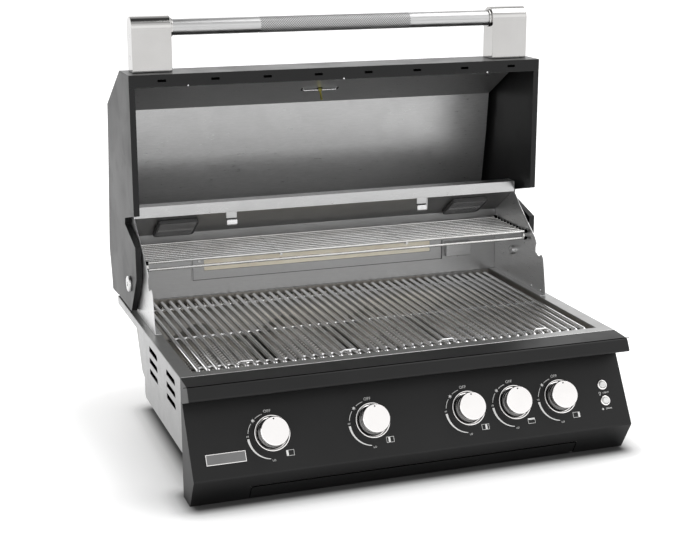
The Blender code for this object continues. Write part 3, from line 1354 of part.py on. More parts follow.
def build_body(steel, grate_steel, black, chrome, brass, lamp_glass, ceramic, dial):
    frame_parts = [
        top_frame(), side_panel("side_panel_left", -1), side_panel("side_panel_right", 1),
        firebox_shell(), firebox_cheek("firebox_side_left", -1), firebox_cheek("firebox_side_right", 1),
        rear_wall(), rear_cover(), rear_burner(), tray_housing(), grease_tray(),
    ]
    paint(frame_parts, steel)
    paint([front_ledge(), control_panel(), tray_front()], black)
    paint([rear_ceramic()], ceramic)
    paint([lamp("lamp_left", -1), lamp("lamp_right", 1)], lamp_glass)
    paint([badge_plate(), hinge_bolt("hinge_bolt_left", -1), hinge_bolt("hinge_bolt_right", 1)], chrome)
    paint([gas_manifold()], brass)
    paint([burner(index + 1, x) for index, x in enumerate(BURNER_XS)], grate_steel)
    paint([flame_tamer(index + 1, x) for index, x in enumerate(BURNER_XS)], grate_steel)
    paint([cooking_grate(number + 1) for number in range(GRATE_COUNT)], grate_steel)
    paint([warming_rack()], chrome)
    for index, x in enumerate(KNOB_XS):
        paint([knob_bezel(index + 1, x), knob(index + 1, x)], chrome)
        paint([valve_stem(index + 1, x)], brass)
    for name, line in zip(("light_button", "igniter_button"), BUTTON_LINES):
        paint([push_button(name, line)], dial)


def main():
    clear_scene()
    steel = make_material("brushed_steel", (0.52, 0.52, 0.53), 1.0, 0.38)
    grate_steel = make_material("grate_steel", (0.42, 0.41, 0.40), 1.0, 0.42)
    black = make_material("black_paint", (0.03, 0.03, 0.032), 0.0, 0.45)
    chrome = make_material("chrome", (0.78, 0.78, 0.78), 1.0, 0.15)
    brass = make_material("brass", (0.62, 0.47, 0.22), 1.0, 0.35)
    lamp_glass = make_material("lamp_glass", (0.10, 0.10, 0.10), 0.0, 0.12)
    ceramic = make_material("ceramic", (0.66, 0.62, 0.50), 0.0, 0.85)
    dial = make_material("white_plastic", (0.85, 0.85, 0.84), 0.0, 0.35)
    build_body(steel, grate_steel, black, chrome, brass, lamp_glass, ceramic, dial)
    build_lid(steel, black, chrome)


main()
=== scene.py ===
# Looks, light and camera for a built in gas grill with its lid open.
import json
import math

import bmesh
import bpy
from mathutils import Matrix, Vector

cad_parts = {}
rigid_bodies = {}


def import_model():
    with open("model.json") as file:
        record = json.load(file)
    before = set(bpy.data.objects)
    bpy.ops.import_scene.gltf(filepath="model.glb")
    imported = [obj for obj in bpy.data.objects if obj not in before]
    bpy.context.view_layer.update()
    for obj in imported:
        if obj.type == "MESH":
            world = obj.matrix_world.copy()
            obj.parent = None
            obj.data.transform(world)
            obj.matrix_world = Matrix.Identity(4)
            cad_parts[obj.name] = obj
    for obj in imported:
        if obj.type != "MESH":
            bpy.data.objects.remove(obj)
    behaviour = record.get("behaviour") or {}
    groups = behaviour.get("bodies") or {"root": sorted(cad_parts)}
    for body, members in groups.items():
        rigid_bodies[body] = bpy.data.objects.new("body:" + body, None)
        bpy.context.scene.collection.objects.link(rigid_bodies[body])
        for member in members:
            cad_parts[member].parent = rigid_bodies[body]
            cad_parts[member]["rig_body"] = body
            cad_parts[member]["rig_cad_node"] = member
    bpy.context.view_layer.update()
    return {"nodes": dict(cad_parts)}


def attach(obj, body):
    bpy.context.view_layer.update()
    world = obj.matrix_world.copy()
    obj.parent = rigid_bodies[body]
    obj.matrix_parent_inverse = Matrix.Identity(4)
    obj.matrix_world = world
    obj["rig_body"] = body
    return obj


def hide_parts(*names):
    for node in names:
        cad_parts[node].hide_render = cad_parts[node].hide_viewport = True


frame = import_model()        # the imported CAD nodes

print("frame loaded:", len(frame["nodes"]), "nodes")

# The grill's own measures: depth runs back from the top frame's front edge, height up from its top face
grill = {
    "frontY": -0.262,
    "topZ": 0.2115,
    "panelTop": (-0.010, -0.0423),
    "panelLean": math.atan2(0.067, 0.115),
    "printLean": math.atan2(0.067, 0.1147),
    "pivot": (0.396, 0.0615),
    "knobX": (-0.264, -0.0842, 0.0956, 0.1855, 0.2754),
    "knobLine": 0.0672,
    "gauge": (0, 0.036, 0.157),
    "gaugeLean": math.atan2(0.137, 0.079),
    "hoodFace": (0.486, 0.131),
    "hoodLean": math.atan2(0.054, 0.0815),
}
leftAndRight = (("left", -1), ("right", 1))
quarter = math.pi / 2


def spot(x, depth, height):
    return Vector((x, depth + grill["frontY"], height + grill["topZ"]))


def sloped(lean, x, down, out):  # on the front slope, measured from the knob panel's top edge
    face = Matrix.Rotation(quarter - lean, 4, "X")
    return Matrix.Translation(spot(x, *grill["panelTop"])) @ face @ Matrix.Translation((0, -down, out))


def panelPlace(x, down):
    return sloped(grill["panelLean"], x, down, 0.0)


def printPlace(x, down):  # just proud of the panel's paint
    return sloped(grill["printLean"], x, down, printValues["out"])


def lidPlace():  # from the closed lid's own measures to where the open lid is
    depth, height = grill["pivot"]
    home = Matrix.Translation((0, -depth, -height))
    return Matrix.Translation(spot(0, depth, height)) @ Matrix.Rotation(-quarter, 4, "X") @ home


def gaugePlace(out=0.0):  # on the lid's slanted front, out from its skin
    middle = Matrix.Translation(grill["gauge"]) @ Matrix.Rotation(grill["gaugeLean"], 4, "X")
    return lidPlace() @ middle @ Matrix.Translation((0, 0, out))


def hoodPlace(x):  # on the hood's slanted underside
    face = Matrix.Rotation(math.pi - grill["hoodLean"], 4, "X")
    return Matrix.Translation(spot(x, *grill["hoodFace"])) @ face


def facing(side):  # points a turned piece to the left or right
    return Matrix.Rotation(side * quarter, 4, "Y")


# Modelling helpers
def clearSelection():
    if bpy.context.object is not None and bpy.context.object.mode != "OBJECT":
        bpy.ops.object.mode_set(mode="OBJECT")
    bpy.ops.object.select_all(action="DESELECT")


def activate(piece):
    clearSelection()
    piece.select_set(True)
    bpy.context.view_layer.objects.active = piece


def editAll():
    bpy.ops.object.mode_set(mode="EDIT")
    bpy.ops.mesh.select_all(action="SELECT")


def editDone():
    bpy.ops.object.mode_set(mode="OBJECT")
    return bpy.context.object


def pick(piece, kind, wanted):  # in edit mode, selects what passes the test
    bpy.ops.mesh.select_mode(type=kind)
    bpy.ops.mesh.select_all(action="DESELECT")
    shape = bmesh.from_edit_mesh(piece.data)
    items = {"EDGE": shape.edges, "FACE": shape.faces}[kind]
    for item in items:
        if wanted(item):
            item.select_set(True)
    bmesh.update_edit_mesh(piece.data)


def outwards():  # in edit mode, turns all faces to the outside
    bpy.ops.mesh.select_all(action="SELECT")
    bpy.ops.mesh.normals_make_consistent(inside=False)


def frozen(piece):  # its place goes into its mesh
    activate(piece)
    bpy.ops.object.transform_apply(location=True, rotation=True, scale=True)


def placed(piece, place):
    piece.data.transform(place)
    return piece


def roundedBlock(low, high, edge, segments=3):
    low, high = Vector(low), Vector(high)
    clearSelection()
    bpy.ops.mesh.primitive_cube_add(size=1.0, location=(low + high) / 2, scale=high - low)
    bpy.ops.object.transform_apply(location=True, rotation=True, scale=True)
    editAll()
    bpy.ops.mesh.bevel(offset=edge, segments=segments, affect="EDGES")
    return editDone()


def plainBlock(low, high):  # with sharp edges, left in edit mode
    piece = roundedBlock(low, high, 0.0001, 1)
    editAll()
    bpy.ops.mesh.remove_doubles(threshold=0.0003)
    return piece


def addBevel(piece, width, segments, corner):
    bevel = piece.modifiers.new("edge", "BEVEL")
    bevel.width = width
    bevel.segments = segments
    bevel.limit_method = "ANGLE"
    bevel.angle_limit = math.radians(corner)


def startPoint(place):  # one loose point, left in edit mode
    clearSelection()
    bpy.ops.mesh.primitive_plane_add(size=0.001)
    bpy.ops.object.mode_set(mode="EDIT")
    bpy.ops.mesh.select_mode(type="VERT")
    bpy.ops.mesh.select_all(action="SELECT")
    bpy.ops.mesh.merge(type="CENTER")
    bpy.ops.transform.translate(value=place)


def turnedPiece(profile, steps=48, closed=False):  # (radius, height) places spun round Z
    startPoint((profile[0][0], 0, profile[0][1]))
    places = list(profile) + ([profile[0]] if closed else [])
    for before, after in zip(places, places[1:]):
        step = (after[0] - before[0], 0, after[1] - before[1])
        bpy.ops.mesh.extrude_region_move(TRANSFORM_OT_translate={"value": step})
    bpy.ops.mesh.select_all(action="SELECT")
    bpy.ops.mesh.remove_doubles(threshold=0.000001)
    bpy.ops.mesh.select_all(action="SELECT")
    bpy.ops.mesh.spin(steps=steps, angle=2 * math.pi, center=(0, 0, 0), axis=(0, 0, 1))
    bpy.ops.mesh.select_all(action="SELECT")
    bpy.ops.mesh.remove_doubles(threshold=0.000002)
    outwards()
    return editDone()


def wirePiece(paths, radius, roundness=3):  # round wire along paths of points
    clearSelection()
    bpy.ops.curve.primitive_bezier_curve_add()
    wire = bpy.context.object
    wire.data.splines.clear()
    wire.data.bevel_depth = radius
    wire.data.bevel_resolution = roundness
    wire.data.use_fill_caps = True
    for path in paths:
        spline = wire.data.splines.new("POLY")
        spline.points.add(len(path) - 1)
        for point, place in zip(spline.points, path):
            point.co = (*place, 1.0)
    bpy.ops.object.convert(target="MESH")
    editAll()
    bpy.ops.mesh.remove_doubles(threshold=0.00001)
    outwards()
    return editDone()


def bentPath(corners, radius, steps=5):  # a path with its corners rounded
    corners = [Vector(corner) for corner in corners]
    path = [corners[0]]
    for before, corner, after in zip(corners, corners[1:], corners[2:]):
        into, outOf = (before - corner).normalized(), (after - corner).normalized()
        for step in range(steps + 1):
            share = step / steps
            first, last = corner + into * radius, corner + outOf * radius
            path.append(first.lerp(corner, share).lerp(corner.lerp(last, share), share))
    return path + [corners[-1]]


def duplicate(piece, place):
    activate(piece)
    bpy.ops.object.duplicate()
    return placed(bpy.context.object, place)


def joined(pieces):
    activate(pieces[0])
    for piece in pieces[1:]:
        piece.select_set(True)
    bpy.ops.object.join()
    return bpy.context.object


def softened(node, edge):  # a CAD node's shape with its edges rounded
    activate(frame["nodes"][node])
    bpy.ops.object.duplicate()
    piece = bpy.context.object
    piece.parent = None
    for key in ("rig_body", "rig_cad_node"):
        if key in piece:
            del piece[key]
    editAll()
    bpy.ops.mesh.customdata_custom_splitnormals_clear()
    bpy.ops.mesh.remove_doubles(threshold=0.00001)
    bpy.ops.mesh.dissolve_limited(angle_limit=math.radians(0.6))
    editDone()
    addBevel(piece, edge, 2, 32)
    return piece


def dress(piece, name, body, look):  # its name, its look and the body that it rides on
    piece.name = name
    piece.data.materials.clear()
    piece.data.materials.append(looks[look])
    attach(piece, body)


def settle(piece, name, body, look, replaced=None, smooth=40.0, place=None):
    activate(piece)
    for modifier in list(piece.modifiers):
        bpy.ops.object.modifier_apply(modifier=modifier.name)
    frozen(piece)
    if place is not None:
        piece.data.transform(place)
    bpy.ops.object.shade_smooth_by_angle(angle=math.radians(smooth))
    piece.modifiers.new("even", "WEIGHTED_NORMAL").keep_sharp = True
    bpy.ops.object.modifier_apply(modifier="even")
    dress(piece, name, body, look)
    if replaced:
        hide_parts(replaced)
    return piece


# Shader node groups, each placed in several materials with its own values
def feed(tree, socket, value):  # links a socket, or sets a plain value
    if isinstance(value, bpy.types.NodeSocket):
        tree.links.new(value, socket)
    else:
        socket.default_value = value


def newGroup(name, inputs, outputs):
    group = bpy.data.node_groups.new(name, "ShaderNodeTree")
    for label, value in {"Vector": (0, 0, 0), **inputs}.items():
        kind = "NodeSocketVector" if isinstance(value, tuple) else "NodeSocketFloat"
        group.interface.new_socket(name=label, in_out="INPUT", socket_type=kind).default_value = value
    for label in outputs:
        kind = "NodeSocketColor" if label == "Tint" else "NodeSocketFloat"
        group.interface.new_socket(name=label, in_out="OUTPUT", socket_type=kind)
    return group, group.nodes.new("NodeGroupInput").outputs, group.nodes.new("NodeGroupOutput").inputs


def add(tree, kind, values=None, **settings):  # a node, with its sockets set or linked
    made = tree.nodes.new("ShaderNode" + kind)
    for key, value in settings.items():
        setattr(made, key, value)
    for socket, value in (values or {}).items():
        feed(tree, made.inputs[socket], value)
    return made


def spread(tree, value, low, high, start=0.0, end=1.0):  # maps low to high onto start to end
    return add(tree, "MapRange", {0: value, 1: low, 2: high, 3: start, 4: end}).outputs[0]


def times(tree, first, second, operation="MULTIPLY"):
    return add(tree, "Math", {0: first, 1: second}, operation=operation).outputs[0]


def vectorStep(tree, operation, first, second=(0, 0, 0)):
    return add(tree, "VectorMath", {0: first, 1: second}, operation=operation).outputs


def noise(tree, vector, scale, detail, roughness=0.5, distortion=0.0):
    return add(tree, "TexNoise", {"Vector": vector, "Scale": scale, "Detail": detail, "Roughness": roughness,
                                  "Distortion": distortion}).outputs[0]


def cells(tree, vector, scale, randomness=0.0):
    values = {"Vector": vector, "Scale": scale, "Randomness": randomness}
    return add(tree, "TexVoronoi", values).outputs["Distance"]


def makeBrushedGrain():  # long scratches of a brushing belt, and broad soft smears
    inputs = {"Stretch": (8, 900, 900), "Smear Scale": 5.0}
    group, given, out = newGroup("brushedGrain", inputs, ("Grain", "Smear"))
    drawn = add(group, "Mapping", {"Vector": given["Vector"], "Scale": given["Stretch"]}).outputs[0]
    broad = noise(group, given["Vector"], given["Smear Scale"], 4.0, 0.55)
    group.links.new(spread(group, noise(group, drawn, 1.0, 3.0, 0.7), 0.28, 0.72), out["Grain"])
    group.links.new(spread(group, broad, 0.3, 0.7), out["Smear"])
    return group


def makePowderPeel():  # the fine skin of a baked powder coat
    group, given, out = newGroup("powderPeel", {"Pitch": 700.0}, ("Height", "Mottle"))
    group.links.new(noise(group, given["Vector"], given["Pitch"], 2.0), out["Height"])
    group.links.new(spread(group, noise(group, given["Vector"], 9.0, 3.0), 0.3, 0.7), out["Mottle"])
    return group


def makeEdgeWear():  # painted highlight where the surface turns sharply, broken up by noise
    group, given, out = newGroup("edgeHighlight", {"Reach": 0.0012, "Break Up": 120.0}, ("Edge",))
    rounded = add(group, "Bevel", {"Radius": given["Reach"]}, samples=4).outputs[0]
    flat = add(group, "NewGeometry").outputs["Normal"]
    bend = spread(group, vectorStep(group, "DOT_PRODUCT", rounded, flat)["Value"], 0.995, 0.80)
    patchiness = spread(group, noise(group, given["Vector"], given["Break Up"], 3.0), 0.35, 0.6)
    group.links.new(times(group, bend, patchiness), out["Edge"])
    return group


def makeHeatTint():  # straw, brown and faint blue that fire leaves on steel
    group, given, out = newGroup("heatTint", {"Patch Scale": 6.0}, ("Tint", "Heat"))
    patches = noise(group, given["Vector"], given["Patch Scale"], 3.0, 0.6)
    ramp = add(group, "ValToRGB", {0: patches})
    stops = ramp.color_ramp.elements
    stops[0].position, stops[0].color = 0.38, (1, 1, 1, 1)
    stops[1].position, stops[1].color = 0.75, (0.62, 0.66, 0.76, 1)
    for position, colour in ((0.50, (0.96, 0.90, 0.78, 1)), (0.60, (0.80, 0.68, 0.54, 1))):
        stops.new(position).color = colour
    group.links.new(ramp.outputs[0], out["Tint"])
    group.links.new(spread(group, patches, 0.4, 0.7), out["Heat"])
    return group


def makeHandMarks():  # fingerprints, wiping streaks and a little dust
    group, given, out = newGroup("handMarks", {"Size": 40.0}, ("Marks", "Specks"))
    wiped = noise(group, given["Vector"], given["Size"], 5.0, 0.5, 0.8)
    group.links.new(spread(group, wiped, 0.45, 0.75), out["Marks"])
    group.links.new(spread(group, cells(group, given["Vector"], 650.0, 1.0), 0.12, 0.05), out["Specks"])
    return group


groups = {
    "grain": makeBrushedGrain(),
    "peel": makePowderPeel(),
    "edge": makeEdgeWear(),
    "heat": makeHeatTint(),
    "marks": makeHandMarks(),
}


def useGroup(tree, name, **values):
    made = tree.nodes.new("ShaderNodeGroup")
    made.node_tree = groups[name]
    for socket, value in values.items():
        feed(tree, made.inputs[socket.replace("_", " ")], value)
    return made.outputs


# Materials: a plain number for a colour is a neutral grey
def newMaterial(name):
    material = bpy.data.materials.new(name)
    material.use_nodes = True
    tree = material.node_tree
    return material, tree, tree.nodes["Principled BSDF"], add(tree, "TexCoord").outputs["Object"]


def mixColour(tree, share, first, second, blend="MIX"):
    made = add(tree, "Mix", data_type="RGBA", blend_type=blend)
    feed(tree, made.inputs[0], share)
    for index, value in ((6, first), (7, second)):
        if isinstance(value, float):
            value = (value, value, value)
        feed(tree, made.inputs[index], (*value, 1) if isinstance(value, tuple) else value)
    return made.outputs[2]


def tinted(tree, place, tone, share, scale):  # heat colours over a tone, and where they are
    heat = useGroup(tree, "heat", Vector=place, Patch_Scale=scale)
    return mixColour(tree, share, tone, mixColour(tree, 1.0, tone, heat["Tint"], "MULTIPLY")), heat["Heat"]


def finish(tree, shader, tone, rough, height, strength, distance):
    tree.links.new(tone, shader.inputs["Base Color"])
    tree.links.new(rough, shader.inputs["Roughness"])
    bump = add(tree, "Bump", {"Height": height, "Strength": strength, "Distance": distance})
    tree.links.new(bump.outputs[0], shader.inputs["Normal"])


def brushedSteel(tree, shader, place, look):
    grain = useGroup(tree, "grain", Vector=place, Stretch=look["stretch"], Smear_Scale=look["smear"])
    marks = useGroup(tree, "marks", Vector=place, Size=30.0)
    tone = mixColour(tree, grain["Grain"], look["dark"], look["light"])
    tone = mixColour(tree, times(tree, grain["Smear"], 0.5), tone, look["smeared"])
    if "heat" in look:
        tone = tinted(tree, place, tone, *look["heat"])[0]
    shader.inputs["Metallic"].default_value = look.get("metal", 1.0)
    rough = spread(tree, grain["Grain"], 0.0, 1.0, look["rough"] - 0.05, look["rough"] + 0.06)
    rough = times(tree, rough, times(tree, marks["Marks"], 0.08), "ADD")
    finish(tree, shader, tone, rough, grain["Grain"], look.get("relief", 0.12), 0.0004)


def powderCoat(tree, shader, place, look):
    peel = useGroup(tree, "peel", Vector=place, Pitch=look["pitch"])
    edge = useGroup(tree, "edge", Vector=place, Reach=0.0012, Break_Up=90.0)
    marks = useGroup(tree, "marks", Vector=place, Size=18.0)
    tone = mixColour(tree, peel["Mottle"], look["dark"], look["light"])
    # sharp edges are lightened towards the edge tone, a painted highlight
    tone = mixColour(tree, times(tree, edge["Edge"], 0.35), tone, look["edge"])
    tone = mixColour(tree, times(tree, marks["Specks"], 0.05), tone, (0.25, 0.25, 0.24))
    shader.inputs["Specular IOR Level"].default_value = look["gloss"]
    rough = spread(tree, peel["Mottle"], 0.0, 1.0, look["rough"] - 0.03, look["rough"] + 0.04)
    rough = times(tree, rough, times(tree, marks["Marks"], 0.05), "ADD")
    finish(tree, shader, tone, rough, peel["Height"], 0.08, 0.0002)


def polishedSteel(tree, shader, place, look):
    marks = useGroup(tree, "marks", Vector=place, Size=look["marks"])
    grain = useGroup(tree, "grain", Vector=place, Stretch=look["stretch"], Smear_Scale=12.0)
    tone = mixColour(tree, grain["Smear"], look["dark"], look["light"])
    if "heat" in look:
        tone = tinted(tree, place, tone, *look["heat"])[0]
    shader.inputs["Metallic"].default_value = 1.0
    rough = spread(tree, marks["Marks"], 0.0, 1.0, look["rough"], look["rough"] + 0.09)
    finish(tree, shader, tone, rough, grain["Grain"], look["relief"], 0.0002)


def knurledSteel(tree, shader, place, look):  # satin tube with a diamond knurl round its middle, its grooves painted near black as painted shade
    axis = spot(0, *look["axis"])
    centred = add(tree, "Mapping", {"Vector": place, "Location": (0, -axis.y, -axis.z)})
    parts = add(tree, "SeparateXYZ", {0: centred.outputs[0]}).outputs
    along = times(tree, parts[0], 2 * math.pi / look["pitch"])
    aroundAxis = times(tree, times(tree, parts[1], parts[2], "ARCTAN2"), float(look["rows"]))
    ridges = []
    for sign in ("ADD", "SUBTRACT"):
        wave = add(tree, "Math", {0: times(tree, along, aroundAxis, sign)}, operation="SINE").outputs[0]
        ridges.append(spread(tree, wave, 0.35, 1.0))
    reach = add(tree, "Math", {0: parts[0]}, operation="ABSOLUTE").outputs[0]
    inside = spread(tree, reach, look["half"], look["half"] - 0.001)
    cross = times(tree, times(tree, *ridges, "MAXIMUM"), inside)
    grain = useGroup(tree, "grain", Vector=place, Stretch=(9, 700, 700), Smear_Scale=8.0)
    marks = useGroup(tree, "marks", Vector=place, Size=60.0)
    tone = mixColour(tree, grain["Grain"], look["dark"], look["light"])
    tone = mixColour(tree, times(tree, cross, 0.85), tone, look["grooveShade"])
    shader.inputs["Metallic"].default_value = 1.0
    rough = spread(tree, marks["Marks"], 0.0, 1.0, look["rough"], look["rough"] + 0.08)
    rough = times(tree, rough, times(tree, inside, 0.12), "ADD")
    finish(tree, shader, tone, rough, times(tree, cross, -1.0), 0.6, 0.0006)


def castPlastic(tree, shader, place, look):
    peel = useGroup(tree, "peel", Vector=place, Pitch=look["pitch"])
    marks = useGroup(tree, "marks", Vector=place, Size=70.0)
    tone = mixColour(tree, peel["Mottle"], look["dark"], look["light"])
    tone = mixColour(tree, times(tree, marks["Marks"], 0.25), tone, look["dark"])
    shader.inputs["Coat Weight"].default_value = look.get("coat", 0.0)
    shader.inputs["Specular IOR Level"].default_value = look.get("gloss", 0.5)
    rough = spread(tree, marks["Marks"], 0.0, 1.0, look["rough"], look["rough"] + 0.12)
    finish(tree, shader, tone, rough, peel["Height"], 0.05, 0.0002)


def firedCeramic(tree, shader, place, look):  # rows of small flame holes in a matt plate, the holes painted darker as painted shade
    hole = spread(tree, cells(tree, place, look["holes"]), 0.32, 0.22)
    tone, heat = tinted(tree, place, look["colour"], 0.4, 9.0)
    tone = mixColour(tree, hole, tone, look["hole"])
    finish(tree, shader, tone, spread(tree, heat, 0.0, 1.0, 0.85, 0.95), times(tree, hole, -1.0), 0.5, 0.0008)


def dottedSteel(tree, shader, place, look):  # pressed dimples on the front part of a flame tamer, coloured near white at their centres and dark between them: painted highlights and painted shade
    level = vectorStep(tree, "MULTIPLY", place, (look["across"], 1, 0))[0]
    dimpleGlint = spread(tree, cells(tree, level, look["holes"]), 0.44, 0.32)
    depth = add(tree, "SeparateXYZ", {0: place}).outputs[1]
    nearFront = spread(tree, depth, spot(0, look["solidFrom"], 0).y, spot(0, look["dotsTo"], 0).y)
    plain, heat = tinted(tree, place, look["plain"], 0.25, 8.0)
    tone = mixColour(tree, nearFront, plain, mixColour(tree, dimpleGlint, look["dark"], look["light"]))
    tree.links.new(spread(tree, nearFront, 0.0, 1.0, 0.7, 0.1), shader.inputs["Metallic"])
    rough = spread(tree, heat, 0.0, 1.0, 0.28, 0.42)
    finish(tree, shader, tone, rough, times(tree, dimpleGlint, nearFront), 0.4, 0.0008)


def ribbedGlass(tree, shader, place, look):  # a lamp lens with fine ribs
    ribs = add(tree, "TexWave", {"Vector": place, "Scale": look["ribs"]}, bands_direction="X").outputs["Fac"]
    marks = useGroup(tree, "marks", Vector=place, Size=35.0)
    shader.inputs["Coat Weight"].default_value = 0.6
    tone = mixColour(tree, ribs, look["dark"], look["light"])
    finish(tree, shader, tone, spread(tree, marks["Marks"], 0.0, 1.0, 0.10, 0.24), ribs, 0.12, 0.0004)


def printedInk(tree, shader, place, look):
    peel = useGroup(tree, "peel", Vector=place, Pitch=900.0)
    marks = useGroup(tree, "marks", Vector=place, Size=200.0)
    tone = mixColour(tree, times(tree, marks["Marks"], 0.3), look["light"], look["dark"])
    rough = spread(tree, peel["Mottle"], 0.0, 1.0, 0.42, 0.52)
    finish(tree, shader, tone, rough, peel["Height"], 0.05, 0.0001)


alongX, alongY, alongZ = (7, 900, 900), (900, 7, 900), (900, 900, 7)
finishes = {
    # The frame, side panels, rear wall, firebox cheeks, hood, liner and firebox all use copies of one
    # stainless steel. Each copy is made lighter or darker to match how bright its part looks, which is
    # painted light and shade (cheekSteel lightest, sideSteel darkest).
    "frameSteel": (brushedSteel, {
        "dark": (0.32, 0.32, 0.317), "light": (0.39, 0.39, 0.387), "smeared": (0.34, 0.34, 0.336),
        "stretch": (50, 900, 900), "smear": 5.0, "rough": 0.36, "relief": 0.06}),
    "sideSteel": (brushedSteel, {
        "dark": 0.29, "light": 0.37, "smeared": 0.32, "stretch": alongY, "smear": 6.0, "rough": 0.30}),
    "wallSteel": (brushedSteel, {
        "dark": 0.36, "light": 0.41, "smeared": 0.37, "stretch": (60, 900, 900), "smear": 4.0, "rough": 0.34,
        "relief": 0.04}),
    "cheekSteel": (brushedSteel, {
        "dark": 0.57, "light": 0.67, "smeared": 0.59, "stretch": (900, 40, 900), "smear": 7.0, "rough": 0.30,
        "relief": 0.05, "metal": 0.88}),
    "hoodSteel": (brushedSteel, {
        "dark": 0.42, "light": 0.48, "smeared": 0.43, "stretch": (50, 900, 900), "smear": 5.0, "rough": 0.30,
        "relief": 0.05}),
    "linerSteel": (brushedSteel, {
        "dark": 0.40, "light": 0.50, "smeared": 0.42, "stretch": (60, 420, 420), "smear": 3.5, "rough": 0.31,
        "relief": 0.10, "metal": 0.80}),
    "fireboxSteel": (brushedSteel, {
        "dark": (0.30, 0.30, 0.295), "light": (0.42, 0.415, 0.41), "smeared": (0.32, 0.31, 0.30),
        "stretch": alongX, "smear": 9.0, "rough": 0.42, "heat": (0.4, 5.0)}),
    "traySteel": (brushedSteel, {
        "dark": 0.40, "light": 0.52, "smeared": (0.42, 0.41, 0.40), "stretch": alongX, "smear": 8.0,
        "rough": 0.38}),
    "burnerSteel": (brushedSteel, {
        "dark": (0.34, 0.33, 0.32), "light": (0.48, 0.47, 0.46), "smeared": (0.38, 0.36, 0.34),
        "stretch": alongY, "smear": 12.0, "rough": 0.36, "heat": (0.8, 14.0)}),
    "grateSteel": (polishedSteel, {
        "dark": (0.74, 0.74, 0.745), "light": (0.84, 0.84, 0.845), "marks": 25.0, "stretch": alongY,
        "rough": 0.18, "relief": 0.01, "heat": (0.06, 7.0)}),
    "rackChrome": (polishedSteel, {
        "dark": (0.50, 0.50, 0.495), "light": (0.58, 0.58, 0.575), "marks": 30.0, "stretch": alongX,
        "rough": 0.18, "relief": 0.0, "heat": (0.1, 8.0)}),
    "postChrome": (polishedSteel, {
        "dark": (0.47, 0.463, 0.455), "light": (0.51, 0.503, 0.495), "marks": 25.0, "stretch": alongX,
        "rough": 0.06, "relief": 0.0}),
    "knobChrome": (polishedSteel, {
        "dark": (0.91, 0.89, 0.88), "light": (0.95, 0.93, 0.92), "marks": 60.0, "stretch": alongZ,
        "rough": 0.10, "relief": 0.02}),
    # a dark copy of the knob chrome for the knobs' grip, painted shade
    "knobChromeShaded": (polishedSteel, {
        "dark": (0.14, 0.138, 0.136), "light": (0.19, 0.188, 0.186), "marks": 60.0, "stretch": alongZ,
        "rough": 0.14, "relief": 0.02}),
    "boltSteel": (polishedSteel, {
        "dark": 0.55, "light": 0.66, "marks": 90.0, "stretch": alongX, "rough": 0.22, "relief": 0.05}),
    "badgeSteel": (polishedSteel, {
        "dark": 0.175, "light": 0.215, "marks": 60.0, "stretch": alongX, "rough": 0.38, "relief": 0.08}),
    "pipeBrass": (polishedSteel, {
        "dark": (0.50, 0.36, 0.15), "light": (0.66, 0.50, 0.24), "marks": 60.0, "stretch": alongX,
        "rough": 0.28, "relief": 0.05}),
    "tubeSteel": (knurledSteel, {
        "dark": 0.40, "light": 0.50, "grooveShade": 0.06, "pitch": 0.0046, "rows": 20, "half": 0.150,
        "rough": 0.30, "axis": (0.389, 0.540)}),
    "panelPaint": (powderCoat, {
        "dark": (0.0085, 0.0085, 0.0086), "light": (0.0105, 0.0105, 0.0107), "edge": 0.05, "pitch": 700.0,
        "gloss": 0.25, "rough": 0.40}),
    "lidPaint": (powderCoat, {
        "dark": (0.010, 0.010, 0.0101), "light": (0.0125, 0.0125, 0.0127), "edge": 0.05, "pitch": 700.0,
        "gloss": 0.19, "rough": 0.36}),
    "blackTrim": (castPlastic, {"dark": 0.006, "light": 0.010, "pitch": 900.0, "rough": 0.45}),
    "slotShade": (castPlastic, {"dark": 0.001, "light": 0.002, "pitch": 900.0, "rough": 0.9, "gloss": 0.0}),
    "whiteTrim": (castPlastic, {
        "dark": (0.70, 0.70, 0.69), "light": (0.82, 0.82, 0.81), "pitch": 500.0, "rough": 0.22, "coat": 0.4}),
    "dialFace": (castPlastic, {
        "dark": (0.62, 0.62, 0.61), "light": (0.72, 0.72, 0.71), "pitch": 500.0, "rough": 0.4}),
    "dialRed": (castPlastic, {
        "dark": (0.36, 0.02, 0.015), "light": (0.45, 0.03, 0.02), "pitch": 500.0, "rough": 0.4}),
    "tamerGlintDots": (dottedSteel, {
        "dark": (0.20, 0.195, 0.185), "light": (1.0, 0.98, 0.94), "plain": (0.76, 0.74, 0.70), "holes": 80.0,
        "across": 1.47, "solidFrom": 0.33, "dotsTo": 0.30}),
    "ceramic": (firedCeramic, {"colour": (0.86, 0.82, 0.71), "hole": (0.52, 0.49, 0.42), "holes": 330.0}),
    "lampGlass": (ribbedGlass, {"dark": (0.125, 0.125, 0.127), "light": (0.14, 0.14, 0.142), "ribs": 90.0}),
    "lampFrame": (castPlastic, {"dark": 0.030, "light": 0.042, "pitch": 700.0, "rough": 0.38}),
    # a lighter copy of the lid's coat for the inside of its front, painted light
    "lidInsideLitPaint": (powderCoat, {
        "dark": 0.048, "light": 0.058, "edge": 0.08, "pitch": 600.0, "gloss": 0.5, "rough": 0.30}),
    "probeBrass": (polishedSteel, {
        "dark": (0.36, 0.33, 0.08), "light": (0.46, 0.42, 0.12), "marks": 60.0, "stretch": alongX,
        "rough": 0.30, "relief": 0.03}),
    "ink": (printedInk, {"light": (0.74, 0.74, 0.73), "dark": (0.58, 0.58, 0.57)}),
}
looks = {}
for look, (kind, values) in finishes.items():
    looks[look], *parts = newMaterial(look)
    kind(*parts, values)
print("materials made:", len(looks))

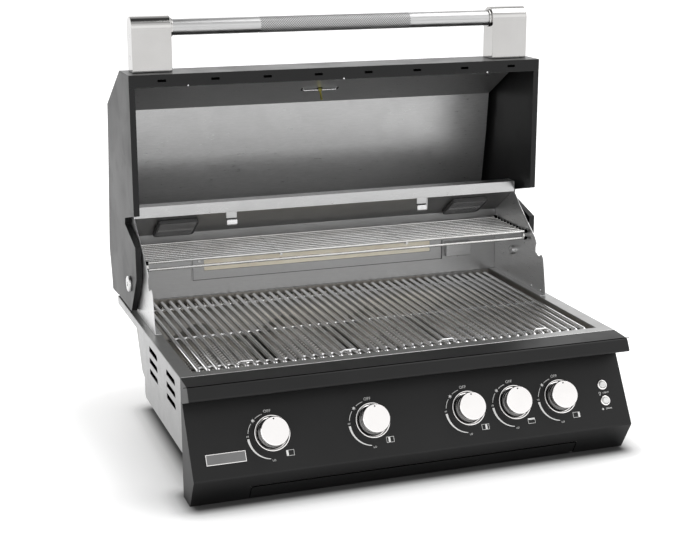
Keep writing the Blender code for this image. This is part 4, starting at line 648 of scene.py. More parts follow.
# Sheet pieces: the CAD shape with rounded folds and edges
sheets = [
    ("frameSteel", "grill_body", 0.0005, ("top_frame",)),
    ("sideSteel", "grill_body", 0.0004, ("side_panel_left", "side_panel_right")),
    ("panelPaint", "grill_body", 0.0006, ("front_ledge", "control_panel")),
    ("panelPaint", "tray", 0.0005, ("tray_front",)),
    ("fireboxSteel", "grill_body", 0.0004, ("firebox_shell",)),
    ("cheekSteel", "grill_body", 0.0004, ("firebox_side_left", "firebox_side_right")),
    ("wallSteel", "grill_body", 0.0004, ("rear_wall",)),
    ("hoodSteel", "grill_body", 0.0004, ("rear_cover",)),
    ("wallSteel", "grill_body", 0.0004, ("rear_burner",)),
    ("traySteel", "grill_body", 0.0003, ("tray_housing",)),
    ("traySteel", "tray", 0.0003, ("grease_tray",)),
    ("lidPaint", "lid", 0.0004, ("lid_shell", "lid_side_left", "lid_side_right")),
    ("linerSteel", "lid", 0.0003, ("lid_liner",)),
    ("pipeBrass", "grill_body", 0.0004, ("gas_manifold",)),
]
for look, body, edge, nodes in sheets:
    for node in nodes:
        settle(softened(node, edge), node + "_sheet", body, look, node)
lidSheet = bpy.data.objects["lid_shell_sheet"]
lidSheet.data.materials.append(looks["lidInsideLitPaint"])
for face in lidSheet.data.polygons:  # faces inside the lid that face forward and down get a lighter copy of its coat, painted light standing in for light reflected from the grill's steel
    if face.normal.y < -0.25 and face.normal.z < -0.2 and face.center.z > spot(0, 0, 0.25).z:
        face.material_index = 1
for number in range(1, 5):
    tamer, burner = f"flame_tamer_{number}", f"burner_{number}"
    settle(softened(tamer, 0.0004), f"tamerRoof_{number}", f"tamer_{number}", "tamerGlintDots", tamer)
    settle(softened(burner, 0.0006), f"burnerTube_{number}", "grill_body", "burnerSteel", burner, smooth=60.0)
for number in range(1, 6):
    stem = f"valve_stem_{number}"
    settle(softened(stem, 0.0003), f"valveStem_{number}", f"stem_{number}", "pipeBrass", stem, smooth=60.0)
plate = softened("rear_burner_ceramic", 0.0006)
settle(plate, "burnerCeramic", "grill_body", "ceramic", "rear_burner_ceramic")
print("sheets done")

# Knobs and their bezels
knobValues = {
    "profile": [(0, 0.005), (0.0242, 0.005), (0.0248, 0.0054), (0.0250, 0.0062), (0.0250, 0.0084),
                (0.0247, 0.0091), (0.0236, 0.0096), (0.0231, 0.0104), (0.0231, 0.0118), (0.0234, 0.0122),
                (0.0238, 0.0126), (0.0240, 0.0210), (0.0244, 0.0226), (0.0249, 0.0234), (0.0250, 0.0240),
                (0.0248, 0.0246), (0.0240, 0.0256), (0.0237, 0.0259), (0.0234, 0.0260), (0, 0.0260)],
    "bezel": [(0.0262, 0.0003), (0.0262, 0.0010), (0.0280, 0.0012), (0.0284, 0.0048), (0.0288, 0.0056),
              (0.0293, 0.0058), (0.0305, 0.0058), (0.0308, 0.0056), (0.0310, 0.0051), (0.0310, 0.0003)],
    "dot": [(0, 0.0260), (0.0014, 0.0260), (0.0014, 0.02615), (0, 0.02615)],
    "dotUp": 0.0205, "grip": (0.0052, 0.0228),
}


def makeKnobs():
    low, high = knobValues["grip"]
    for number, x in enumerate(grill["knobX"], 1):
        place = panelPlace(x, grill["knobLine"])
        knob = turnedPiece(knobValues["profile"], 64)
        settle(knob, f"knobCap_{number}", f"dial_{number}", "knobChrome", f"knob_{number}", 50.0, place)
        knob.data.materials.append(looks["knobChromeShaded"])
        upright = place.inverted()
        for face in knob.data.polygons:  # the grip under the bright rim gets a dark copy of the chrome, painted shade for its dark reflections
            if low < (upright @ face.center).z < high:
                face.material_index = 1
        bezel = turnedPiece(knobValues["bezel"], 64, closed=True)
        settle(bezel, f"knobRing_{number}", "grill_body", "knobChrome", f"knob_bezel_{number}", 50.0, place)
        dot = turnedPiece(knobValues["dot"], 20)
        shift = Matrix.Translation((0, knobValues["dotUp"], 0))
        settle(dot, f"knobDot_{number}", f"dial_{number}", "blackTrim", place=place @ shift)


makeKnobs()
print("knobs done")

# Printed marks round each knob
printValues = {
    "out": 0.00018, "shift": (0.0025, 0.0035), "ring": 0.0390, "letterRing": 0.0420, "letter": 0.00694,
    "smallLetter": 0.0044, "line": 0.0009, "star": (0.0038, 0.0016, 6), "thick": 0.0040, "thin": 0.0012,
    "icon": (0.0140, 0.0100), "iconLine": 0.0006, "iconPlace": (0.0293, -0.0325, 0),
}


def flatText(text, size):
    clearSelection()
    bpy.ops.object.text_add()
    words = bpy.context.object
    words.data.body = text
    words.data.size = size
    words.data.align_x = "CENTER"
    words.data.align_y = "CENTER"
    words.data.space_character = 1.1
    bpy.ops.object.convert(target="MESH")
    return bpy.context.object


def flatArc(radius, startAngle, endAngle, startWidth, endWidth, steps=28):  # degrees clockwise from 12
    start = math.radians(startAngle)
    sweep = math.radians(endAngle) - start
    startPoint((0, radius - startWidth / 2, 0))
    bpy.ops.mesh.extrude_region_move(TRANSFORM_OT_translate={"value": (0, startWidth, 0)})
    bpy.ops.mesh.select_all(action="SELECT")
    bpy.ops.mesh.spin(steps=steps, angle=sweep, center=(0, 0, 0), axis=(0, 0, 1))
    piece = editDone()
    for point in piece.data.vertices:
        angle = math.atan2(point.co.x, point.co.y)
        share = min(1.0, max(0.0, abs(angle) / abs(sweep)))
        width = startWidth + (endWidth - startWidth) * share
        reach = radius + (width / 2 if point.co.length > radius else -width / 2)
        point.co = Vector((math.sin(angle) * reach, math.cos(angle) * reach, 0))
    return placed(piece, Matrix.Rotation(-start, 4, "Z"))


def flatBar(low, high):
    clearSelection()
    bpy.ops.mesh.primitive_plane_add(size=1.0)
    middle = Matrix.Translation(((low[0] + high[0]) / 2, (low[1] + high[1]) / 2, 0))
    return placed(bpy.context.object, middle @ Matrix.Diagonal((high[0] - low[0], high[1] - low[1], 1, 1)))


def flatStar(radius, inner, points):
    clearSelection()
    bpy.ops.mesh.primitive_circle_add(vertices=points * 2, radius=radius, fill_type="NGON")
    piece = bpy.context.object
    for point in list(piece.data.vertices)[1::2]:
        point.co *= inner / radius
    return piece


def outlineBars(width, height, line):
    x, y = width / 2, height / 2
    return [flatBar((-x, -y), (x, -y + line)), flatBar((-x, y - line), (x, y)),
            flatBar((-x, -y), (-x + line, y)), flatBar((x - line, -y), (x, y))]


def around(piece, clock, radius):  # clock in degrees clockwise from 12
    angle = math.radians(clock)
    return placed(piece, Matrix.Translation((math.sin(angle) * radius, math.cos(angle) * radius, 0)))


def layFlat(pieces, name, place, body="grill_body", look="ink"):  # flat marks, all facing out
    for piece in pieces:
        frozen(piece)
    whole = joined(pieces)
    for face in whole.data.polygons:
        if face.normal.z < 0:
            face.flip()
    dress(placed(whole, place), name, body, look)


burnerIcons = {  # which part of the cooking area each knob heats, in shares of the icon
    1: (0.0, 0.0, 0.28, 1.0), 2: (0.26, 0.0, 0.52, 1.0), 3: (0.48, 0.0, 0.74, 1.0),
    4: (0.0, 0.68, 1.0, 1.0), 5: (0.72, 0.0, 1.0, 1.0),
}


def makeDialPrints():
    v = printValues
    ring, line, (width, height), (left, down) = v["ring"], v["line"], v["icon"], v["shift"]
    for number, x in enumerate(grill["knobX"], 1):
        pieces = [
            around(flatText("OFF", v["letter"]), 0, v["letterRing"]),
            flatArc(ring, -14, -35, line, line, 10),
            around(flatStar(*v["star"]), -43, ring),
            flatArc(ring, -52, -78, line, line, 10),
            around(flatText("HI", v["smallLetter"]), -86, ring + 0.0005),
            flatArc(ring, -92, -172, v["thick"], v["thin"]),
            around(flatText("LO", v["smallLetter"]), -180, v["letterRing"]),
        ]
        icon = outlineBars(width, height, v["iconLine"])
        lowX, lowY, highX, highY = burnerIcons[number]
        icon.append(flatBar(((lowX - 0.5) * width, (lowY - 0.5) * height),
                            ((highX - 0.5) * width, (highY - 0.5) * height)))
        for bar in icon:
            bar.data.transform(Matrix.Translation(v["iconPlace"]))
        layFlat(pieces + icon, f"dialPrint_{number}", printPlace(x - left, grill["knobLine"] + down))


makeDialPrints()
print("prints done")

# Push buttons, their rings and marks
buttonValues = {
    "x": 0.365, "printDown": 0.0148, "letter": 0.0042, "wordX": 0.0045, "signX": -0.0078,
    "cap": [(0, -0.0098), (0.0080, -0.0098), (0.0080, -0.0018), (0.0060, -0.0018), (0.0060, 0.0030),
            (0.0056, 0.0040), (0.0044, 0.0045), (0.0030, 0.0043), (0, 0.0040)],
    "ring": [(0.0064, 0.0003), (0.0064, 0.0016), (0.0072, 0.0026), (0.0082, 0.0028), (0.0092, 0.0020),
             (0.0096, 0.0008), (0.0096, 0.0003)],
}


def bulbSign():
    return [flatArc(0.0019, 0.0, 359.9, 0.0006, 0.0006, 20), flatBar((-0.0009, -0.0034), (0.0009, -0.0028)),
            flatBar((-0.0007, -0.0043), (0.0007, -0.0038))]


def sparkSign():
    return [flatStar(0.0026, 0.0010, 6)]


def makeButtons():
    v = buttonValues
    for name, line, sign in (("light", 0.0551, bulbSign), ("igniter", 0.0845, sparkSign)):
        place = panelPlace(v["x"], line)
        button = name + "_button"
        settle(turnedPiece(v["cap"], 32), button + "_cap", name + "_switch", "whiteTrim", button, 50.0, place)
        ring = turnedPiece(v["ring"], 40, closed=True)
        settle(ring, button + "_ring", "grill_body", "knobChrome", smooth=60.0, place=place)
        word = flatText("LIGHT" if name == "light" else "SPARK", v["letter"])
        marks = [placed(word, Matrix.Translation((v["wordX"], 0, 0)))]
        marks += [placed(bit, Matrix.Translation((v["signX"], 0, 0))) for bit in sign()]
        layFlat(marks, button + "_print", printPlace(v["x"], line + v["printDown"]))


makeButtons()

# Badge plate, bare, with a raised border
badgeValues = {
    "half": (0.0345, 0.0095), "place": (-0.348, 0.0988), "plateZ": (0.0003, 0.0016), "corner": 0.0022,
    "rim": 0.0011, "sunk": -0.0005, "borderIn": 0.0003, "borderZ": (0.0014, 0.0020), "borderLine": 0.0009,
}


def makeBadge():
    v = badgeValues
    x, y = v["half"]
    place = panelPlace(*v["place"])
    back, front = v["plateZ"]
    plate = roundedBlock((-x, -y, back), (x, y, front), 0.00035, 2)
    bpy.ops.object.mode_set(mode="EDIT")
    pick(plate, "EDGE", lambda e: abs(e.verts[0].co.z - e.verts[1].co.z) > 0.0005
         and abs(e.verts[0].co.x) > 0.033 and abs(e.verts[0].co.y) > 0.009)
    bpy.ops.mesh.bevel(offset=v["corner"], segments=5, affect="EDGES")
    pick(plate, "FACE", lambda f: f.normal.z > 0.99 and f.calc_area() > 0.0001)
    bpy.ops.mesh.inset(thickness=v["rim"])
    bpy.ops.mesh.extrude_region_move(TRANSFORM_OT_translate={"value": (0, 0, v["sunk"])})
    outwards()
    settle(plate, "badgeBlank", "grill_body", "badgeSteel", "badge_plate", place=place)
    x, y = x - v["borderIn"], y - v["borderIn"]
    back, front = v["borderZ"]
    border = roundedBlock((-x, -y, back), (x, y, front), 0.0002, 2)
    bpy.ops.object.mode_set(mode="EDIT")
    pick(border, "FACE", lambda f: abs(f.normal.z) > 0.99 and f.calc_area() > 0.0001)
    bpy.ops.mesh.inset(thickness=v["borderLine"])
    bpy.ops.mesh.delete(type="FACE")
    pick(border, "EDGE", lambda e: e.is_boundary)
    bpy.ops.mesh.bridge_edge_loops()
    outwards()
    settle(border, "badgeBorder", "grill_body", "knobChrome", place=place)


makeBadge()
print("buttons and badge done")

# Cooking grates: round bars with turned down ends on three cross rods
grateValues = {
    "count": 4, "bars": 11, "pitch": 0.01705, "radius": 0.0042, "axis": -0.0062, "front": 0.036,
    "rear": 0.479, "drop": 0.0155, "bend": 0.0075, "rodRadius": 0.0034, "rodShares": (0.08, 0.48, 0.92),
    "rodSunk": 0.0022, "rodIn": 0.0046, "tabHalf": 0.0120, "tabDepth": 0.0480, "tabLow": -0.0060,
    "tabHigh": 0.0006,
    "tabBend": 0.0030, "tabWire": 0.0017,
}


def makeGrates():
    v = grateValues
    width = v["pitch"] * v["bars"]
    foot = v["axis"] - v["drop"]
    level = v["axis"] - v["radius"] - v["rodRadius"] + v["rodSunk"]
    for number in range(1, v["count"] + 1):
        middle = (number - (v["count"] + 1) / 2) * width
        x = middle - width / 2 + v["pitch"] / 2
        corners = [spot(x, v["front"], foot), spot(x, v["front"], v["axis"]), spot(x, v["rear"], v["axis"]),
                   spot(x, v["rear"], foot)]
        bar = wirePiece([bentPath(corners, v["bend"])], v["radius"], 4)
        pieces = [bar]
        for index in range(1, v["bars"]):
            pieces.append(duplicate(bar, Matrix.Translation((index * v["pitch"], 0, 0))))
        rodPaths = []
        for share in v["rodShares"]:
            depth = v["front"] + share * (v["rear"] - v["front"])
            rodPaths.append([spot(middle - width / 2 + v["rodIn"], depth, level),
                             spot(middle + width / 2 - v["rodIn"], depth, level)])
        pieces.append(wirePiece(rodPaths, v["rodRadius"], 3))
        left, right, depth = middle - v["tabHalf"], middle + v["tabHalf"], v["tabDepth"]
        tab = [spot(left, depth, v["tabLow"]), spot(left, depth, v["tabHigh"]),
               spot(right, depth, v["tabHigh"]), spot(right, depth, v["tabLow"])]
        pieces.append(wirePiece([bentPath(tab, v["tabBend"])], v["tabWire"], 3))
        settle(joined(pieces), f"grateBars_{number}", f"grate_{number}", "grateSteel",
               f"cooking_grate_{number}", 50.0)


makeGrates()
print("grates done")

# Warming rack
rackValues = {
    "half": 0.391, "height": 0.1143, "front": 0.334, "pitch": 0.0141, "wires": 9, "wire": 0.0016,
    "rail": 0.0027, "drop": 0.0135, "rodX": (-0.387, -0.129, 0.129, 0.387), "rodSunk": 0.0010,
    "rodPast": 0.0030, "outerFrom": 0.2, "bendIn": 0.0035, "hookIn": 0.0004, "bend": 0.003,
    "railCapIn": 0.0050,
    "railCap": [(0, 0), (0.0034, 0), (0.0036, 0.0006), (0.0036, 0.0050), (0.0028, 0.0062), (0, 0.0064)],
    "wireCapIn": 0.0030,
    "wireCap": [(0, 0), (0.0019, 0), (0.0022, 0.0004), (0.0022, 0.0032), (0.0017, 0.0038), (0, 0.0038)],
}


def makeRack():
    v = rackValues
    half, front, height, low = v["half"], v["front"], v["height"], v["height"] - v["drop"]
    rear = front + (v["wires"] + 1) * v["pitch"]
    wires = [(front + index * v["pitch"], height) for index in range(1, v["wires"] + 1)]
    rails = [(front, height), (front, low), (rear, height)]
    wirePaths, railPaths = ([[spot(-half, *at), spot(half, *at)] for at in group] for group in (wires, rails))
    under = height - v["wire"] - v["rail"] + v["rodSunk"]
    rodPaths = []
    for x in v["rodX"]:
        ends = [spot(x, rear, under), spot(x, front - v["rodPast"], under)]
        if abs(x) > v["outerFrom"]:  # the outer two carry the low rail
            ends = bentPath([ends[0], spot(x, front + v["bendIn"], under), spot(x, front + v["hookIn"], low)],
                            v["bend"])
        rodPaths.append(ends)
    pieces = [wirePiece(wirePaths, v["wire"], 3), wirePiece(railPaths, v["rail"], 4),
              wirePiece(rodPaths, v["rail"], 3)]
    settle(joined(pieces), "rackWires", "rack", "rackChrome", "warming_rack", 50.0)
    # black caps on the wire ends, in the unlit black of the slot shades, are painted shade for the dark spots
    # at the rack's ends
    caps = []
    for side in (-1, 1):
        for ends, shape, steps in ((rails, "railCap", 20), (wires, "wireCap", 16)):
            for at in ends:
                end = Matrix.Translation(spot(side * (half - v[shape + "In"]), *at))
                caps.append(placed(turnedPiece(v[shape], steps), end @ facing(side)))
    settle(joined(caps), "rackEndShades", "rack", "slotShade", smooth=50.0)


makeRack()
print("rack done")

# Lid handle: two posts and a knurled tube
handleValues = {
    "inner": 0.3208, "width": 0.0737, "foot": -0.0038, "reach": -0.0825, "height": 0.0545, "half": 0.022,
    "collarIn": 0.0041, "screwDepths": (-0.030, -0.068),
    "collar": [(0.0153, 0.0), (0.0172, 0.0), (0.0176, 0.0005), (0.0176, 0.0034), (0.0172, 0.0040),
               (0.0153, 0.0040)],
    "screw": [(0, -0.0010), (0.0018, -0.0010), (0.0022, 0.0), (0.0042, 0.0002), (0.0046, -0.0003),
              (0.0046, -0.0012)],
    "tube": [(0.0130, 0.3385), (0.0146, 0.3385), (0.0150, 0.3380), (0.0150, 0.1530), (0.0146, 0.1524),
             (0.0146, 0.1508), (0.0150, 0.1502), (0.0150, -0.1502), (0.0146, -0.1508), (0.0146, -0.1524),
             (0.0150, -0.1530), (0.0150, -0.3380), (0.0146, -0.3385), (0.0130, -0.3385)],
}


def makeHandle():
    v = handleValues
    outer, reach, height, half = v["inner"] + v["width"], v["reach"], v["height"], v["half"]
    for name, side in leftAndRight:
        left, right = sorted((side * v["inner"], side * outer))
        post = plainBlock((left, reach - half, height - half), (right, v["foot"], height + half))
        pick(post, "EDGE", lambda e: abs(e.verts[0].co.x - e.verts[1].co.x) > 0.05
             and max(e.verts[0].co.y, e.verts[1].co.y) < reach)
        bpy.ops.mesh.bevel(offset=half - 0.0002, segments=20, affect="EDGES")
        addBevel(editDone(), 0.0012, 3, 50)
        settle(post, f"handlePost_{name}", "lid", "postChrome", f"handle_post_{name}", 45.0, lidPlace())
        collar = turnedPiece(v["collar"], 48, closed=True)
        place = Matrix.Translation((side * (v["inner"] - v["collarIn"]), reach, height))
        settle(collar, f"handleCollar_{name}", "lid", "postChrome", smooth=50.0,
               place=lidPlace() @ place @ facing(side))
        screw = turnedPiece(v["screw"], 32)
        screws = [duplicate(screw, Matrix.Translation((side * outer, depth, height)) @ facing(side))
                  for depth in v["screwDepths"]]
        bpy.data.objects.remove(screw)
        settle(joined(screws), f"postScrews_{name}", "lid", "boltSteel", smooth=50.0, place=lidPlace())
    place = Matrix.Translation((0, reach, height)) @ facing(1)
    tube = turnedPiece(v["tube"], 48, closed=True)
    settle(tube, "handleTube", "lid", "tubeSteel", "handle_tube", 50.0, lidPlace() @ place)


makeHandle()
print("handle done")

# Hinge bolts
boltProfile = [
    (0, 0.4104), (0.0040, 0.4104), (0.0046, 0.4146), (0.0120, 0.4150), (0.0142, 0.4142),
    (0.0150, 0.4126), (0.0150, 0.4098), (0.0142, 0.4091), (0.0050, 0.4091), (0.0050, 0.4073),
    (0.0090, 0.4073), (0.0090, 0.3958), (0.0050, 0.3958), (0.0050, 0.3937), (0.0092, 0.3937),
    (0.0088, 0.3872), (0.0070, 0.3867), (0, 0.3867),
]


def makeBolts():
    for name, side in leftAndRight:
        place = Matrix.Translation(spot(0, *grill["pivot"])) @ facing(side)
        settle(turnedPiece(boltProfile, 40), f"hingeBolt_{name}", "grill_body", "boltSteel",
               f"hinge_bolt_{name}", 45.0, place)


makeBolts()

# Lamps under the hood
lampShape = {
    "x": 0.306, "low": (-0.040, 0.006, 0.0004), "high": (0.040, 0.076, 0.0078), "corner": 0.009,
    "rim": 0.0032, "sunk": -0.0012,
    "lensLow": (-0.0362, 0.0098, 0.0050), "lensHigh": (0.0362, 0.0722, 0.0073),
}


def makeLamps():
    v = lampShape
    for name, side in leftAndRight:
        shell = plainBlock(v["low"], v["high"])
        pick(shell, "EDGE", lambda e: abs(e.verts[0].co.z - e.verts[1].co.z) > 0.005)
        bpy.ops.mesh.bevel(offset=v["corner"], segments=6, affect="EDGES")
        pick(shell, "FACE", lambda f: f.normal.z > 0.99)
        bpy.ops.mesh.inset(thickness=v["rim"])
        bpy.ops.mesh.extrude_region_move(TRANSFORM_OT_translate={"value": (0, 0, v["sunk"])})
        addBevel(editDone(), 0.0010, 3, 30)
        place = hoodPlace(side * v["x"])
        settle(shell, f"lampHousing_{name}", "grill_body", "lampFrame", f"lamp_{name}", place=place)
        lens = roundedBlock(v["lensLow"], v["lensHigh"], 0.0008, 3)
        settle(lens, f"lampLens_{name}", "grill_body", "lampGlass", place=place)


makeLamps()
print("bolts and lamps done")

# Clips and rivets of the hood. A clip part is (name, wider by, how far in front, bottom, top, (edge radius,
# its steps), look, shading angle)
hoodValues = {
    "clipX": (-0.2065, 0.1890), "clipHalf": 0.0105, "face": 0.4046,
    "clipParts": (("clipPlate", 0.0, 0.0026, 0.1722, 0.1852, (0.0006, 2), "hoodSteel", 50.0),
                  ("clipTongue", 0.0006, 0.0072, 0.1588, 0.1702, (0.0026, 5), "boltSteel", 50.0),
                  # the black strip between clip plate and tongue is painted shade of the gap between them
                  ("clipGapShade", 0.0, 0.0010, 0.1698, 0.1726, (0.0003, 1), "blackTrim", 40.0)),
    "rivets": (((-0.2496, -0.0013, 0.2454), 0.4034, 0.1880, "grill_body"),
               ((-0.300, 0.0, 0.297), 0.3366, 0.4392, "lid")),
    "rivet": [(0, 0.0010), (0.0009, 0.0009), (0.0016, 0.0004), (0.0019, -0.0003), (0, -0.0003)],
}


def makeHoodTrim():
    v = hoodValues
    for name, x in zip(("left", "right"), v["clipX"]):
        for part, wider, front, bottom, top, edge, look, smooth in v["clipParts"]:
            low = spot(x - v["clipHalf"] - wider, v["face"] - front, bottom)
            high = spot(x + v["clipHalf"] + wider, v["face"], top)
            settle(roundedBlock(low, high, *edge), f"{part}_{name}", "grill_body", look, smooth=smooth)
    index = 0
    for places, depth, height, body in v["rivets"]:
        for x in places:
            index += 1
            place = Matrix.Translation(spot(x, depth, height)) @ Matrix.Rotation(quarter, 4, "X")
            settle(turnedPiece(v["rivet"], 20), f"rivet_{index}", body, "boltSteel", smooth=60.0, place=place)


lineValues = {  # (name, depth, height, half length, look)
    "lines": (("ledgeCreaseShade", -0.0456, -0.0022, 0.4130, "slotShade"),
              ("frameEdgeHighlight", 0.0002, -0.0002, 0.4060, "boltSteel")),
    "radius": 0.0006, "seamRadius": 0.0007, "seamOut": 0.0006, "seamBend": 0.006,
}


def makeLedgeLines():  # a black wire along the ledge's fold, painted shade of the crease, and a brighter steel wire on the frame's front edge, a painted highlight
    for name, depth, height, reach, look in lineValues["lines"]:
        line = wirePiece([[spot(-reach, depth, height), spot(reach, depth, height)]], lineValues["radius"], 2)
        settle(line, name, "grill_body", look, smooth=60.0)


def makeTraySeam():  # a black wire in the gap round the grease tray's front, painted shade of the gap
    corners = [vertex.co for vertex in bpy.data.objects["tray_front"].data.vertices]
    side = max(corner.x for corner in corners) + lineValues["seamOut"]
    top = max(corners, key=lambda corner: corner.z - corner.y)
    foot = min(corners, key=lambda corner: corner.z + corner.y * 0.1)
    path = [Vector((x, end.y, end.z)) for x, end in ((-side, foot), (-side, top), (side, top), (side, foot))]
    seam = wirePiece([bentPath(path, lineValues["seamBend"])], lineValues["seamRadius"], 2)
    settle(seam, "traySeamShade", "tray", "slotShade", smooth=60.0)


slotValues = {"first": -0.34825, "pitch": 0.0995, "count": 8, "half": 0.0090, "low": (0.3384, 0.4465),
              "high": (0.3392, 0.4555)}


def makeSlotShades():  # black sheets behind the slots in the lid's lip, painted shade seen through the slots
    v = slotValues
    shades = []
    for step in range(v["count"]):
        x = v["first"] + step * v["pitch"]
        low, high = spot(x - v["half"], *v["low"]), spot(x + v["half"], *v["high"])
        shades.append(roundedBlock(low, high, 0.0002, 1))
    settle(joined(shades), "slotShades", "lid", "slotShade")


cheekValues = {
    "coverLow": (0.2772, 0.4748, 0.0374), "coverHigh": (0.3334, 0.4862, 0.0676),
    "rivetX": 0.3925, "rivets": ((0.3065, 0.0080), (0.2670, 0.0084)),
    "rivet": [(0, 0.0012), (0.0012, 0.0011), (0.0022, 0.0006), (0.0026, -0.0004), (0, -0.0004)],
}


def makeIgniterCover():  # the cover beside the rear burner, and the rivets of the firebox's sides
    v = cheekValues
    cover = roundedBlock(spot(*v["coverLow"]), spot(*v["coverHigh"]), 0.0012, 3)
    settle(cover, "igniterCover", "grill_body", "hoodSteel")
    heads = []
    for side in (-1, 1):
        for at in v["rivets"]:
            place = Matrix.Translation(spot(side * v["rivetX"], *at)) @ facing(-side)
            heads.append(placed(turnedPiece(v["rivet"], 20), place))
    settle(joined(heads), "cheekRivets", "grill_body", "boltSteel", smooth=60.0)


seamValues = {
    "low": (-0.2668, 0.0318), "high": (0.2712, 0.0932), "line": 0.0009, "depth": 0.4838, "thick": 0.0012,
    "screws": ((-0.253, 0.4836, 0.0696), (0.303, 0.4756, 0.0390)),
    "screw": [(0, -0.0008), (0.0010, -0.0008), (0.0013, 0.0006), (0.0026, 0.0004), (0.0030, -0.0004),
              (0.0030, -0.0012), (0, -0.0012)],
}


def makeBurnerSeam():  # the dark line round the rear burner, and two screws
    v = seamValues
    (left, bottom), (right, top), line = v["low"], v["high"], v["line"]
    bars = []
    for x1, z1, x2, z2 in ((left, bottom, right, bottom + line), (left, top - line, right, top),
                           (left, bottom, left + line, top), (right - line, bottom, right, top)):
        bars.append(roundedBlock(spot(x1, v["depth"], z1), spot(x2, v["depth"] + v["thick"], z2), 0.0002, 1))
    settle(joined(bars), "burnerSeam", "grill_body", "blackTrim")
    screws = []
    for at in v["screws"]:
        place = Matrix.Translation(spot(*at)) @ Matrix.Rotation(quarter, 4, "X")
        screws.append(placed(turnedPiece(v["screw"], 20), place))
    settle(joined(screws), "burnerScrews", "grill_body", "boltSteel", smooth=50.0)


louverValues = {
    "front": 0.041, "length": 0.067, "pitch": 0.139, "top": -0.018, "rowPitch": 0.0215, "rows": 3, "lean": 58,
    "blade": ((0.0, 0.0015, -0.0007), (0.0118, 0.0655, 0.0007)), "bladeX": 0.4056, "shadeX": (0.3968, 0.3960),
    "shadeFront": 0.004, "shadeBelow": 0.042, "shadeBehind": 0.060, "shadeAbove": 0.006,
}


def makeLouvers():  # a blade leans in from the upper edge of each side slot, a black sheet is behind; both are unlit black, painted shade in the slots
    v = louverValues
    blade = placed(roundedBlock(*v["blade"], 0.0004, 1), Matrix.Rotation(math.radians(v["lean"]), 4, "Y"))
    for name, side in leftAndRight:
        blades = []
        for column in (0, 1):
            for row in range(v["rows"]):
                height = v["top"] - row * v["rowPitch"]
                at = spot(side * v["bladeX"], v["front"] + column * v["pitch"], height)
                blades.append(duplicate(blade, Matrix.Translation(at) @ Matrix.Diagonal((-side, 1, 1, 1))))
                if side > 0:  # a mirrored copy has its faces turned back
                    blades[-1].data.flip_normals()
        settle(joined(blades), f"shadedLouvers_{name}", "grill_body", "slotShade")
        left, right = sorted(side * x for x in v["shadeX"])
        bottom = v["top"] - 2 * v["rowPitch"] - v["shadeBelow"]
        low = spot(left, v["front"] - v["shadeFront"], bottom)
        rear = v["front"] + v["pitch"] + v["length"] + v["shadeBehind"]
        high = spot(right, rear, v["top"] + v["shadeAbove"])
        settle(roundedBlock(low, high, 0.0002, 1), f"louverShades_{name}", "grill_body", "slotShade")
    bpy.data.objects.remove(blade)


makeHoodTrim()
makeLedgeLines()
makeTraySeam()
makeSlotShades()
makeIgniterCover()
makeBurnerSeam()
makeLouvers()
print("trim done")

# Thermometer on the lid's front
gaugeValues = {
    "case": [(0, 0.0066), (0.0318, 0.0066), (0.0322, 0.0110), (0.0330, 0.0121), (0.0341, 0.0121),
             (0.0349, 0.0110), (0.0350, 0.0018), (0.0356, 0.0010), (0.0356, 0.0003), (0, 0.0003)],
    "face": [(0, 0.00665), (0.0316, 0.00665), (0.0316, 0.00675), (0, 0.00675)],
    "hub": [(0, 0.0068), (0.0030, 0.0068), (0.0030, 0.0080), (0.0024, 0.0086), (0, 0.0087)],
    "pointer": ((-0.0008, -0.006, 0.0072), (0.0008, 0.0240, 0.0080)),
    "start": -135, "ticks": 28, "tickStep": 10, "tickEnd": 0.0300, "longTick": (0.0004, 0.0262),
    "shortTick": (0.00025, 0.0276), "numbers": range(50, 351, 50), "numberStep": 45, "letter": 0.0050,
    "numberRing": 0.0222, "marksOut": 0.0069,
    "strap": [(-0.0345, 0, -0.0205), (-0.0330, 0, -0.0240), (0.0330, 0, -0.0240), (0.0345, 0, -0.0205)],
    "pinX": 0.0372, "pinUp": 0.0028,
    "pin": [(0, -0.0226), (0.0016, -0.0224), (0.0019, -0.0216), (0.0019, -0.0204), (0, -0.0204)],
    "probe": [(0, 0.0003), (0.0030, 0.0003), (0.0030, -0.0222), (0.0042, -0.0226), (0.0042, -0.0262),
              (0.0036, -0.0268), (0.0022, -0.0270), (0.0022, -0.0440), (0.0016, -0.0456), (0, -0.0458)],
}


def makeThermometer():
    v = gaugeValues
    place = gaugePlace()
    settle(turnedPiece(v["case"], 64), "gaugeCase", "lid", "knobChrome", "thermometer", 50.0, place)
    settle(turnedPiece(v["face"], 64), "gaugeFace", "lid", "dialFace", place=place)
    marks = []
    for index in range(v["ticks"]):
        half, inner = v["shortTick"] if index % 3 else v["longTick"]
        turn = Matrix.Rotation(-math.radians(v["start"] + index * v["tickStep"]), 4, "Z")
        marks.append(placed(flatBar((-half, inner), (half, v["tickEnd"])), turn))
    for index, number in enumerate(v["numbers"]):
        clock = v["start"] + index * v["numberStep"]
        marks.append(around(flatText(str(number), v["letter"]), clock, v["numberRing"]))
    layFlat(marks, "gaugeMarks", gaugePlace(v["marksOut"]), "lid", "blackTrim")
    needle = joined([turnedPiece(v["hub"], 24), roundedBlock(*v["pointer"], 0.0002, 1)])
    atStart = place @ Matrix.Rotation(-math.radians(v["start"]), 4, "Z")
    settle(needle, "gaugePointer", "needle", "dialRed", "gauge_needle", place=atStart)
    strap = wirePiece([bentPath(v["strap"], 0.0012)], 0.0017, 3)
    settle(strap, "gaugeStrap", "lid", "boltSteel", place=place)
    pins = []
    for side in (-1, 1):
        for up in (-v["pinUp"], v["pinUp"]):
            pins.append(placed(turnedPiece(v["pin"], 16), Matrix.Translation((side * v["pinX"], up, 0))))
    settle(joined(pins), "gaugePins", "lid", "blackTrim", place=place)
    settle(turnedPiece(v["probe"], 24), "gaugeProbe", "lid", "probeBrass", smooth=50.0, place=place)


makeThermometer()
print("thermometer done")
